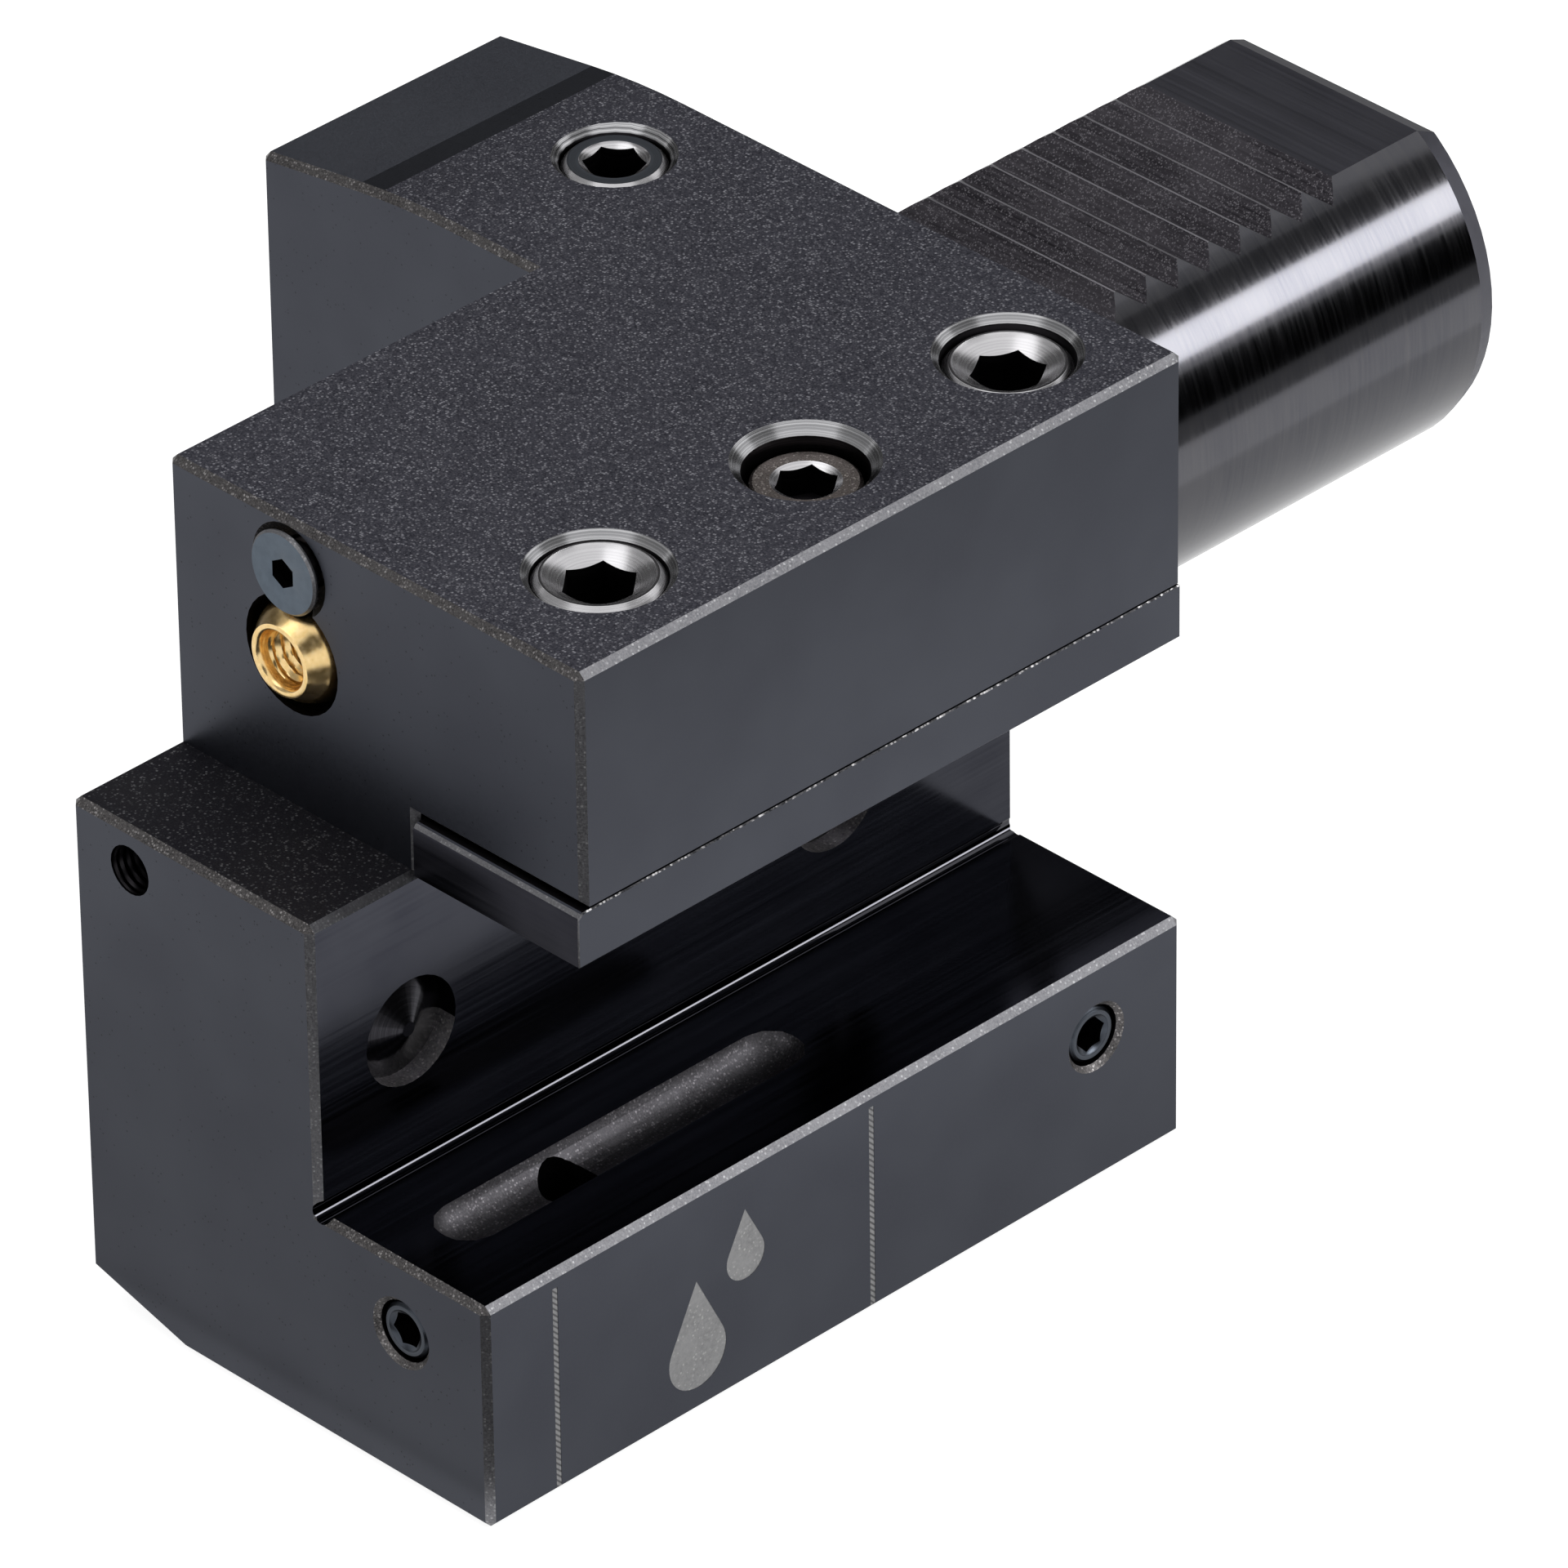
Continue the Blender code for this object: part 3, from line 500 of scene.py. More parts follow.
def toMesh(bm, name, mats, sharpAngle, rounded=()):
    soft = {mats.index(mat) for mat in rounded}
    for edge in bm.edges:  # an edge is also sharp where the finish changes
        used = {face.material_index for face in edge.link_faces}
        limit = math.radians(roundAngle if used <= soft else sharpAngle)
        edge.smooth = len(used) == 1 and edge.calc_face_angle(0) < limit
    for face in bm.faces:
        face.smooth = True
    mesh = bpy.data.meshes.new(name)
    bm.to_mesh(mesh)
    bm.free()
    for mat in mats:
        mesh.materials.append(mat)
    return mesh


def closeUp(bm, gap=0.003):
    # joins the rings' ends and turns the faces outwards
    bmesh.ops.remove_doubles(bm, verts=bm.verts, dist=gap)
    bmesh.ops.recalc_face_normals(bm, faces=bm.faces)


def axisMatrix(place, axis, spin=0.0):
    # local +Z goes to axis, local origin to place (millimetres), and millimetres become metres
    turn = Vector((0, 0, 1)).rotation_difference(Vector(axis)).to_matrix().to_4x4()
    return Matrix.Translation(at(*place)) @ turn @ Matrix.Rotation(spin, 4, "Z") @ Matrix.Scale(mm, 4)


def addRings(bm, rings, material=0):
    # rings are lists of points of equal length, joined by quads; a single point closes on a fan
    made = [[bm.verts.new(p) for p in ring] for ring in rings]
    for first, second in zip(made, made[1:]):
        count = max(len(first), len(second))
        for i in range(count):
            j = (i + 1) % count
            corners = [first[i % len(first)], first[j % len(first)],
                       second[j % len(second)], second[i % len(second)]]
            face = bm.faces.new([v for k, v in enumerate(corners) if v not in corners[:k]])
            face.material_index = material


def circle(radius, height, steps):
    turns = [math.tau * i / steps for i in range(steps)]
    return [(radius * math.cos(turn), radius * math.sin(turn), height) for turn in turns]


def hexRing(width, height, steps):
    # the height is a number, or a function of the distance from the axis
    points = []
    for i in range(steps):
        turn = math.tau * i / steps
        radius = width / 2 / math.cos((turn + math.pi / 6) % (math.pi / 3) - math.pi / 6)
        level = height(radius) if callable(height) else height
        points.append((radius * math.cos(turn), radius * math.sin(turn), level))
    return points


# Threads and the spring, by geometry nodes
threadShape = {"crestFlat": 0.14, "seam": 0.001, "fade": 0.5, "steps": 48, "rowsPerTurn": 8, "leastRows": 4}
springSteps = {"perTurn": 40, "round": 12}


def openTree(name, sizes):
    tree = bpy.data.node_groups.new(name, "GeometryNodeTree")
    tree.interface.new_socket("Geometry", in_out="OUTPUT", socket_type="NodeSocketGeometry")
    for key, kind in sizes.items():
        tree.interface.new_socket(key, in_out="INPUT", socket_type=kind)
    return tree, tree.nodes.new("NodeGroupInput").outputs, tree.nodes.new("NodeGroupOutput").inputs


def closeTree(tree, geometry, given, result):
    real = tree.nodes.new("GeometryNodeRealizeInstances")
    paint = tree.nodes.new("GeometryNodeSetMaterial")
    tree.links.new(geometry, real.inputs[0])
    tree.links.new(real.outputs[0], paint.inputs["Geometry"])
    tree.links.new(given["Material"], paint.inputs["Material"])
    tree.links.new(paint.outputs[0], result["Geometry"])
    return tree


def threadTree():
    # a tube whose wall follows the helical phase, for outside and inside threads
    tree, given, result = openTree("threadTree", {
        "Radius": "NodeSocketFloat", "Depth": "NodeSocketFloat", "Pitch": "NodeSocketFloat",
        "Length": "NodeSocketFloat", "Fade": "NodeSocketFloat", "Steps": "NodeSocketInt",
        "Rows": "NodeSocketInt", "Inside": "NodeSocketBool", "Material": "NodeSocketMaterial"})
    grid = tree.nodes.new("GeometryNodeMeshGrid")
    grid.inputs["Size X"].default_value = 1
    grid.inputs["Size Y"].default_value = 1
    tree.links.new(maths(tree, "ADD", given["Steps"], 1), grid.inputs["Vertices X"])
    tree.links.new(maths(tree, "ADD", given["Rows"], 1), grid.inputs["Vertices Y"])
    split = tree.nodes.new("ShaderNodeSeparateXYZ")
    tree.links.new(tree.nodes.new("GeometryNodeInputPosition").outputs[0], split.inputs[0])
    turns = maths(tree, "ADD", split.outputs["X"], 0.5)
    height = maths(tree, "MULTIPLY", maths(tree, "ADD", split.outputs["Y"], 0.5), given["Length"])
    climbed = maths(tree, "DIVIDE", height, given["Pitch"])
    phase = maths(tree, "FRACT", maths(tree, "SUBTRACT", climbed, turns))
    slope = maths(tree, "ABSOLUTE", maths(tree, "SUBTRACT", maths(tree, "MULTIPLY", phase, 2), 1))
    flank = tree.nodes.new("ShaderNodeMapRange")  # flats at crest and root
    flank.inputs["From Min"].default_value = threadShape["crestFlat"]
    flank.inputs["From Max"].default_value = 1 - threadShape["crestFlat"]
    tree.links.new(slope, flank.inputs["Value"])
    toEnd = maths(tree, "MINIMUM", height, maths(tree, "SUBTRACT", given["Length"], height))
    fade = maths(tree, "MINIMUM", maths(tree, "DIVIDE", toEnd, given["Fade"]), 1)
    bite = maths(tree, "MULTIPLY", maths(tree, "MULTIPLY", flank.outputs["Result"], given["Depth"]), fade)
    radius = maths(tree, "SUBTRACT", given["Radius"], bite)
    angle = maths(tree, "MULTIPLY", turns, math.tau)
    point = tree.nodes.new("ShaderNodeCombineXYZ")
    tree.links.new(maths(tree, "MULTIPLY", radius, maths(tree, "COSINE", angle)), point.inputs["X"])
    tree.links.new(maths(tree, "MULTIPLY", radius, maths(tree, "SINE", angle)), point.inputs["Y"])
    tree.links.new(height, point.inputs["Z"])
    move = tree.nodes.new("GeometryNodeSetPosition")
    tree.links.new(grid.outputs["Mesh"], move.inputs["Geometry"])
    tree.links.new(point.outputs[0], move.inputs["Position"])
    seam = tree.nodes.new("GeometryNodeMergeByDistance")
    tree.links.new(move.outputs[0], seam.inputs["Geometry"])
    seam.inputs["Distance"].default_value = threadShape["seam"]
    flip = tree.nodes.new("GeometryNodeFlipFaces")
    tree.links.new(seam.outputs[0], flip.inputs["Mesh"])
    choose = tree.nodes.new("GeometryNodeSwitch")
    choose.input_type = "GEOMETRY"
    tree.links.new(given["Inside"], choose.inputs["Switch"])
    tree.links.new(seam.outputs[0], choose.inputs["False"])
    tree.links.new(flip.outputs[0], choose.inputs["True"])
    return closeTree(tree, choose.outputs[0], given, result)


def springTree():
    # a round wire on a spiral, with its end coils closed flat
    tree, given, result = openTree("springTree", {
        "Radius": "NodeSocketFloat", "Wire": "NodeSocketFloat", "Height": "NodeSocketFloat",
        "Turns": "NodeSocketFloat", "Closed": "NodeSocketFloat", "Material": "NodeSocketMaterial"})
    spiral = tree.nodes.new("GeometryNodeCurveSpiral")
    spiral.inputs["Resolution"].default_value = springSteps["perTurn"]
    tree.links.new(given["Turns"], spiral.inputs["Rotations"])
    tree.links.new(given["Radius"], spiral.inputs["Start Radius"])
    tree.links.new(given["Radius"], spiral.inputs["End Radius"])
    spiral.inputs["Height"].default_value = 1
    split = tree.nodes.new("ShaderNodeSeparateXYZ")
    tree.links.new(tree.nodes.new("GeometryNodeInputPosition").outputs[0], split.inputs[0])
    share = maths(tree, "DIVIDE", given["Closed"], given["Turns"])
    rise = tree.nodes.new("ShaderNodeMapRange")
    tree.links.new(split.outputs["Z"], rise.inputs["Value"])
    tree.links.new(share, rise.inputs["From Min"])
    tree.links.new(maths(tree, "SUBTRACT", 1, share), rise.inputs["From Max"])
    tree.links.new(given["Wire"], rise.inputs["To Min"])
    tree.links.new(maths(tree, "SUBTRACT", given["Height"], given["Wire"]), rise.inputs["To Max"])
    lead = tree.nodes.new("ShaderNodeMapRange")  # the closed coil still climbs by one wire
    tree.links.new(split.outputs["Z"], lead.inputs["Value"])
    tree.links.new(share, lead.inputs["From Max"])
    tree.links.new(maths(tree, "MULTIPLY", given["Wire"], -1), lead.inputs["To Min"])
    last = tree.nodes.new("ShaderNodeMapRange")
    tree.links.new(split.outputs["Z"], last.inputs["Value"])
    tree.links.new(maths(tree, "SUBTRACT", 1, share), last.inputs["From Min"])
    tree.links.new(given["Wire"], last.inputs["To Max"])
    lead.inputs["To Max"].default_value = 0
    last.inputs["To Min"].default_value = 0
    level = maths(tree, "ADD", rise.outputs["Result"], lead.outputs["Result"])
    level = maths(tree, "ADD", level, last.outputs["Result"])
    point = tree.nodes.new("ShaderNodeCombineXYZ")
    tree.links.new(split.outputs["X"], point.inputs["X"])
    tree.links.new(split.outputs["Y"], point.inputs["Y"])
    tree.links.new(level, point.inputs["Z"])
    move = tree.nodes.new("GeometryNodeSetPosition")
    tree.links.new(spiral.outputs["Curve"], move.inputs["Geometry"])
    tree.links.new(point.outputs[0], move.inputs["Position"])
    wire = tree.nodes.new("GeometryNodeCurvePrimitiveCircle")
    wire.inputs["Resolution"].default_value = springSteps["round"]
    tree.links.new(maths(tree, "DIVIDE", given["Wire"], 2), wire.inputs["Radius"])
    sweep = tree.nodes.new("GeometryNodeCurveToMesh")
    sweep.inputs["Fill Caps"].default_value = True
    tree.links.new(move.outputs[0], sweep.inputs["Curve"])
    tree.links.new(wire.outputs["Curve"], sweep.inputs["Profile Curve"])
    return closeTree(tree, sweep.outputs[0], given, result)


def treeMesh(tree, values):
    ids = {item.name: item.identifier for item in tree.interface.items_tree if item.in_out == "INPUT"}
    maker = linked("maker", bpy.data.meshes.new("maker"))
    mod = maker.modifiers.new("tree", "NODES")
    mod.node_group = tree
    for key, value in values.items():
        mod[ids[key]] = value
    graph = bpy.context.evaluated_depsgraph_get()
    mesh = bpy.data.meshes.new_from_object(maker.evaluated_get(graph))
    bpy.data.objects.remove(maker)
    return mesh


def addMesh(bm, mesh, matrix, material):
    before = set(bm.verts)
    faces = set(bm.faces)
    bm.from_mesh(mesh)
    bmesh.ops.transform(bm, matrix=matrix, verts=[v for v in bm.verts if v not in before])
    for face in bm.faces:
        if face not in faces:
            face.material_index = material
    bpy.data.meshes.remove(mesh)


def addThread(bm, trees, values, height, material):
    settings = {"Inside": False, "Fade": values["Pitch"] * threadShape["fade"], "Steps": threadShape["steps"]}
    settings.update(values)
    turns = settings["Length"] / settings["Pitch"]
    settings["Rows"] = max(threadShape["leastRows"], round(turns * threadShape["rowsPerTurn"]))
    addMesh(bm, treeMesh(trees["thread"], settings), Matrix.Translation((0, 0, height)), material)


# The clamp screws and the plugs
# Each stands on its driven end: local Z is 0 there and falls towards the point
screwSizes = {
    "clamp": {"radius": 5.86, "pitch": 1.75, "socket": 6.0, "depth": 7.0, "dish": 4.85,
              "mats": ("screwSteel", "threadSteel", "bore", "screwRing")},
    "riserPlug": {"radius": 4.8, "pitch": 1.5, "socket": 5.0, "depth": 4.0, "dish": 3.1,
                  "mats": ("screwSteel", "threadSteel", "bore", "plugRing")},
    "crossPlug": {"radius": 4.7, "pitch": 1.5, "socket": 5.0, "depth": 4.0, "dish": 3.1,
                  "mats": ("plugFace", "threadSteel", "bore", "plugFace")},
    "smallPlug": {"radius": 2.7, "pitch": 1.0, "socket": 3.0, "depth": 3.0, "dish": 1.9,
                  "mats": ("plugFace", "threadSteel", "bore", "plugFace")},
}
# lead and point are shares of the radius, drillTip of the socket and threadDepth of the pitch
screwEnds = {"steps": 48, "lead": 0.12, "dishStep": 0.12, "dishEdge": 0.1, "dishSlope": 0.55,
             "drillTip": 0.225, "point": 0.55, "pointDip": 0.15, "threadDepth": 0.5}
screws = {  # node, body, size, the way the driven end faces, and the socket's turn in degrees
    "clampScrewFront": ("clamp_screw_front", "front_screw", "clamp", (0, 0, 1), 40.3),
    "clampScrewRear": ("clamp_screw_rear", "rear_screw", "clamp", (0, 0, 1), 29.8),
    "flangePlug": ("flange_plug", "holder", "riserPlug", (0, 0, 1), 10),
    "galleryPlug": ("gallery_plug", "holder", "crossPlug", (-1, 0, 0), 25),
    "sidePlug": ("side_plug", "holder", "smallPlug", (1, 0, 0), 12),
    "frontPlug": ("front_plug", "holder", "smallPlug", (0, -1, 0), 40),
}
drill = {"width": 0.8, "step": 0.1}  # the flat end of a socket, its width as a share of the socket's


def nodeAxis(node, axis):
    # middle of the node's driven end and its length along the axis, in millimetres
    low, high = (fromFrame(corner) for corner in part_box(node))
    middle = (low + high) / 2
    way = Vector(axis)
    half = abs((high - low).dot(way)) / 2
    return middle + way * half, half * 2


def markTurned(bm):
    turned = bm.verts.layers.float.new("turned")
    for vert in bm.verts:
        vert[turned] = math.hypot(vert.co.x, vert.co.y) + abs(vert.co.z)


def addSocket(bm, mouth, width, depth, tip, drilled=True):
    # straight walls down from the mouth, and the cone that the drill leaves
    steps = len(mouth)
    rings = [mouth, hexRing(width, -depth, steps)]
    if drilled:
        rings.append(circle(width / 2 * drill["width"], -depth - drill["step"], steps))
    addRings(bm, [*rings, [(0, 0, -depth - tip)]], 2)


def makeSetScrew(name, spec, trees, mats):
    node, body, size, axis, spin = spec
    end, length = nodeAxis(node, axis)
    sizes, cut = screwSizes[size], screwEnds
    radius, dish, socket, steps = sizes["radius"], sizes["dish"], sizes["socket"], cut["steps"]
    lead = radius * cut["lead"]
    point = lead - length

    def dished(reach):
        return -cut["dishStep"] - (dish - reach) * cut["dishSlope"]

    edge = circle(radius - lead, 0, steps)
    dishEdge = circle(dish + cut["dishEdge"], 0, steps)
    mouth = hexRing(socket, dished, steps)
    bm = bmesh.new()
    addRings(bm, [circle(radius, -lead, steps), edge])
    addRings(bm, [edge, dishEdge], 3)
    addRings(bm, [dishEdge, circle(dish, -cut["dishStep"], steps), mouth])
    addSocket(bm, mouth, socket, sizes["depth"], socket * cut["drillTip"])
    addRings(bm, [circle(radius, point, steps), circle(radius - lead, -length, steps),
                  circle(radius * cut["point"], -length, steps), [(0, 0, cut["pointDip"] - length)]], 1)
    addThread(bm, trees, {"Radius": radius, "Depth": sizes["pitch"] * cut["threadDepth"],
                          "Pitch": sizes["pitch"], "Length": length - 2 * lead,
                          "Material": mats["threadSteel"]}, point, 1)
    closeUp(bm)
    markTurned(bm)
    bm.transform(axisMatrix(end, axis, math.radians(spin)))
    piece = linked(name, toMesh(bm, name, [mats[m] for m in sizes["mats"]], turnedAngle))
    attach(piece, body)
    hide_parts(node)


# The bar's screw and its spring
barScrew = {"node": "bar_screw", "steps": 96, "headRadius": 5.0, "headHeight": 6.0, "headEdge": 0.3,
            "socket": 5.0, "socketDepth": 3.0, "drillTip": 1.1, "dish": 3.15, "dishSlope": 0.6,
            "edge": 0.4, "edgeIn": 0.12, "edgeDown": 0.22, "knurlTop": 0.64, "knurl": 0.22, "knurlEnd": 0.15,
            "fillet": 0.25, "threadRadius": 2.7, "pitch": 1.0, "threadDepth": 0.5, "threadLength": 9.0,
            "point": 0.5, "spin": 35.3, "mats": ("capSteel", "threadSteel", "bore", "screwSteel")}
spring = {"node": "return_spring", "turns": 6.0, "wire": 0.9, "closed": 0.9, "radius": 4.4, "floor": 16.0,
          "keep": 0.50}


def knurlRing(radius, depth, height, steps):
    # every second point is cut in by the depth
    points = []
    for i in range(steps):
        turn = math.tau * i / steps
        reach = radius - depth * (i % 2)
        points.append((reach * math.cos(turn), reach * math.sin(turn), height))
    return points


def makeBarScrew(spec, trees, mats):
    end, length = nodeAxis(spec["node"], (0, 0, 1))
    steps, head, shaft, pitch = spec["steps"], spec["headRadius"], spec["threadRadius"], spec["pitch"]
    knurlTop = -spec["knurlTop"]
    under = -spec["headHeight"]
    knurlLow = under + spec["headEdge"]
    point = spec["point"] - length

    def dished(reach):
        return -(spec["dish"] - reach) * spec["dishSlope"]

    knurl = [knurlRing(head, 0, knurlTop, steps),
             knurlRing(head, spec["knurl"], knurlTop - spec["knurlEnd"], steps),
             knurlRing(head, spec["knurl"], knurlLow + spec["knurlEnd"], steps),
             knurlRing(head, 0, knurlLow, steps)]
    dishEdge = circle(spec["dish"], 0, steps)
    mouth = hexRing(spec["socket"], dished, steps)
    neck = circle(shaft, under - spec["fillet"], steps)
    bm = bmesh.new()
    addRings(bm, [knurl[0], circle(head - spec["edgeIn"], -spec["edgeDown"], steps),
                  circle(head - spec["edge"], 0, steps), dishEdge])
    addRings(bm, [dishEdge, mouth], 3)
    addSocket(bm, mouth, spec["socket"], spec["socketDepth"], spec["drillTip"])
    addRings(bm, [*knurl, circle(head - spec["headEdge"], under, steps),
                  circle(shaft + spec["fillet"], under, steps), neck], 1)
    addRings(bm, [neck, circle(shaft, spec["threadLength"] - length, steps)], 1)
    addRings(bm, [circle(shaft, point, steps), circle(shaft - spec["point"], -length, steps),
                  [(0, 0, -length)]], 1)
    addThread(bm, trees, {"Radius": shaft, "Depth": pitch * spec["threadDepth"], "Pitch": pitch,
                          "Steps": steps, "Length": spec["threadLength"] - spec["point"],
                          "Material": mats["threadSteel"]}, point, 1)
    closeUp(bm)
    markTurned(bm)
    bm.transform(axisMatrix(end, (0, 0, 1), math.radians(spec["spin"])))
    piece = linked("barScrew", toMesh(bm, "barScrew", [mats[m] for m in spec["mats"]], turnedAngle))
    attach(piece, "bar")
    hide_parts(spec["node"])


def makeSpring(spec, trees, mats):
    low, high = (fromFrame(corner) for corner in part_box(spec["node"]))
    middle = (low + high) / 2
    mesh = treeMesh(trees["spring"], {
        "Radius": spec["radius"], "Wire": spec["wire"], "Height": high.z - low.z - spec["wire"],
        "Turns": spec["turns"], "Closed": spec["closed"], "Material": mats["springSteel"]})
    mesh.transform(axisMatrix((middle.x, middle.y, low.z + spec["wire"] / 2), (0, 0, 1)))
    piece = linked("returnSpring", mesh)
    for face in mesh.polygons:
        face.use_smooth = True
    mesh.name = "returnSpring"
    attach(piece, "holder")
    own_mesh(piece)
    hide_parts(spec["node"])


# The nozzle, its lock screw and the seals
nozzle = {"node": "nozzle_ball", "across": 7.0, "up": 19.6, "centre": -69.8, "ball": 5.15, "nose": 3.5,
          "proud": 4.1, "cone": 2.9, "bore": 2.62, "mouth": 3.1, "mouthDepth": 1.15, "mouthSteps": 10,
          "edge": 0.14, "edgeStep": 0.3, "pitch": 1.0, "crest": 0.42, "steps": 96, "arc": 40,
          "back": 3.75}
# the lock screw's head edge takes the lighter chamfer colour, a painted highlight
lockScrew = {"node": "nozzle_lock_screw", "steps": 48, "radius": 4.0, "edge": 0.22, "rim": 0.4, "shaft": 2.2,
             "socket": 2.55, "lip": 0.62, "lipDrop": 0.05, "depth": 1.8, "drillTip": 0.5, "pitch": 0.8,
             "threadDepth": 0.45, "point": 0.3, "mats": ("bluedSteel", "litChamfer", "bore", "threadSteel")}
seals = {  # node and body
    "nozzleSeal": ("nozzle_seal", "nozzle_swivel"),
    "inletSeal": ("inlet_seal", "holder"),
    "shankSeal": ("shank_seal", "holder"),
}
sealSteps = {"round": 96, "wire": 20, "merge": 0.001}


def makeNozzle(spec, trees, mats):
    # turned about the nozzle's axis, local Z points out of the nose
    steps, ball, nose = spec["steps"], spec["ball"], spec["proud"]
    bore, back, edge = spec["bore"], spec["back"], spec["edge"]
    start = math.acos(-back / ball)
    stop = math.acos(spec["cone"] / ball)
    mouth = nose - spec["mouthDepth"]
    edgeStep = edge * spec["edgeStep"]
    rings = [circle(bore, -back, steps)]
    for i in range(spec["arc"] + 1):
        turn = start + (stop - start) * i / spec["arc"]
        rings.append(circle(ball * math.sin(turn), ball * math.cos(turn), steps))
    rings.append(circle(spec["nose"], nose - edge, steps))
    rings.append(circle(spec["nose"] - edgeStep, nose - edgeStep, steps))
    rings.append(circle(spec["nose"] - edge, nose, steps))
    for i in range(spec["mouthSteps"] + 1):  # the mouth rounds into the bore
        turn = math.pi / 2 * i / spec["mouthSteps"]
        flare = (spec["mouth"] - bore) * (1 - math.sin(turn))
        rings.append(circle(bore + flare, mouth + spec["mouthDepth"] * math.cos(turn), steps))
    bm = bmesh.new()
    addRings(bm, rings)
    addThread(bm, trees, {"Radius": bore, "Depth": spec["crest"], "Pitch": spec["pitch"],
                          "Inside": True, "Length": mouth + back, "Steps": steps,
                          "Material": mats["brass"]}, -back, 0)
    closeUp(bm)
    bm.transform(axisMatrix((spec["across"], spec["centre"], spec["up"]), (0, -1, 0)))
    piece = linked("nozzleBall", toMesh(bm, "nozzleBall", [mats["brass"]], turnedAngle))
    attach(piece, "nozzle")
    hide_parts(spec["node"])


def makeLockScrew(spec, trees, mats):
    end, length = nodeAxis(spec["node"], (0, -1, 0))
    steps, radius, shaft, pitch = spec["steps"], spec["radius"], spec["shaft"], spec["pitch"]
    cone = spec["rim"] + radius - shaft
    point = spec["point"] - length
    rim = circle(radius, -spec["rim"], steps)
    edge = circle(radius - spec["edge"], 0, steps)
    mouth = hexRing(spec["socket"], -spec["lipDrop"], steps)
    bm = bmesh.new()
    addRings(bm, [rim, circle(radius, -spec["edge"], steps), edge], 1)
    addRings(bm, [edge, circle(spec["socket"] * spec["lip"], 0, steps), mouth])
    addSocket(bm, mouth, spec["socket"], spec["depth"], spec["drillTip"], drilled=False)
    addRings(bm, [rim, circle(shaft, -cone, steps)])
    addThread(bm, trees, {"Radius": shaft, "Depth": pitch * spec["threadDepth"], "Pitch": pitch,
                          "Length": length - cone - spec["point"], "Material": mats["threadSteel"]}, point, 3)
    addRings(bm, [circle(shaft, point, steps), circle(shaft - spec["point"], -length, steps),
                  [(0, 0, -length)]], 3)
    closeUp(bm)
    markTurned(bm)
    bm.transform(axisMatrix(end, (0, -1, 0)))
    kinds = [mats[m] for m in spec["mats"]]
    piece = linked("nozzleLockScrew", toMesh(bm, "nozzleLockScrew", kinds, turnedAngle))
    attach(piece, "lock_screw")
    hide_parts(spec["node"])


def makeSeal(name, spec, mats):
    node, body = spec
    low, high = (fromFrame(corner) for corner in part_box(node))
    wire = (high.y - low.y) / 2
    reach = (high.x - low.x) / 2 - wire
    sides = sealSteps["wire"]
    rings = []
    for k in range(sides + 1):  # the last ring is the first again
        turn = math.tau * (k % sides) / sides
        rings.append(circle(reach + wire * math.cos(turn), wire * math.sin(turn), sealSteps["round"]))
    bm = bmesh.new()
    addRings(bm, rings)
    closeUp(bm, sealSteps["merge"])
    bm.transform(axisMatrix((low + high) / 2, (0, 1, 0)))
    piece = linked(name, toMesh(bm, name, [mats["rubber"]], sealAngle))
    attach(piece, body)
    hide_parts(node)


# The holder's body
bodyLook = {"merge": 0.002, "flat": 0.2, "touch": 0.01, "square": 0.9, "level": 0.99, "topLevel": 0.995,
            "slopeAbove": 20, "markDepth": 0.03, "markOut": 1, "sharp": 16}
shankLook = {"flat": 14.0, "skin": 19.9, "teethEnd": 51.2, "endFace": 2, "tipArea": 20e-6}
slotLook = {"groove": (22.15, -24.75, 1.06), "channel": 31.6, "channelHalf": 3.3, "channelFloor": -28.5,
            "channelNear": -81.5, "channelFar": -33.0, "wallMargin": 0.7, "seatMargin": 2.6}
holeLook = {"mouth": 3.0, "straight": 0.2, "facing": 0.95, "litWall": 0.25, "wide": 5.5, "downScale": 1.7}
bodyMats = ("satin", "slope", "blasted", "shadedStepBlasted", "litChamfer", "shadedChamfer", "relief", "seatGround",
            "faceGround", "shankGround", "flatGround", "tooth", "toothTipHighlight", "channel", "pocket",
            "pocketFloor", "rim", "bore", "laser", "laserLine")
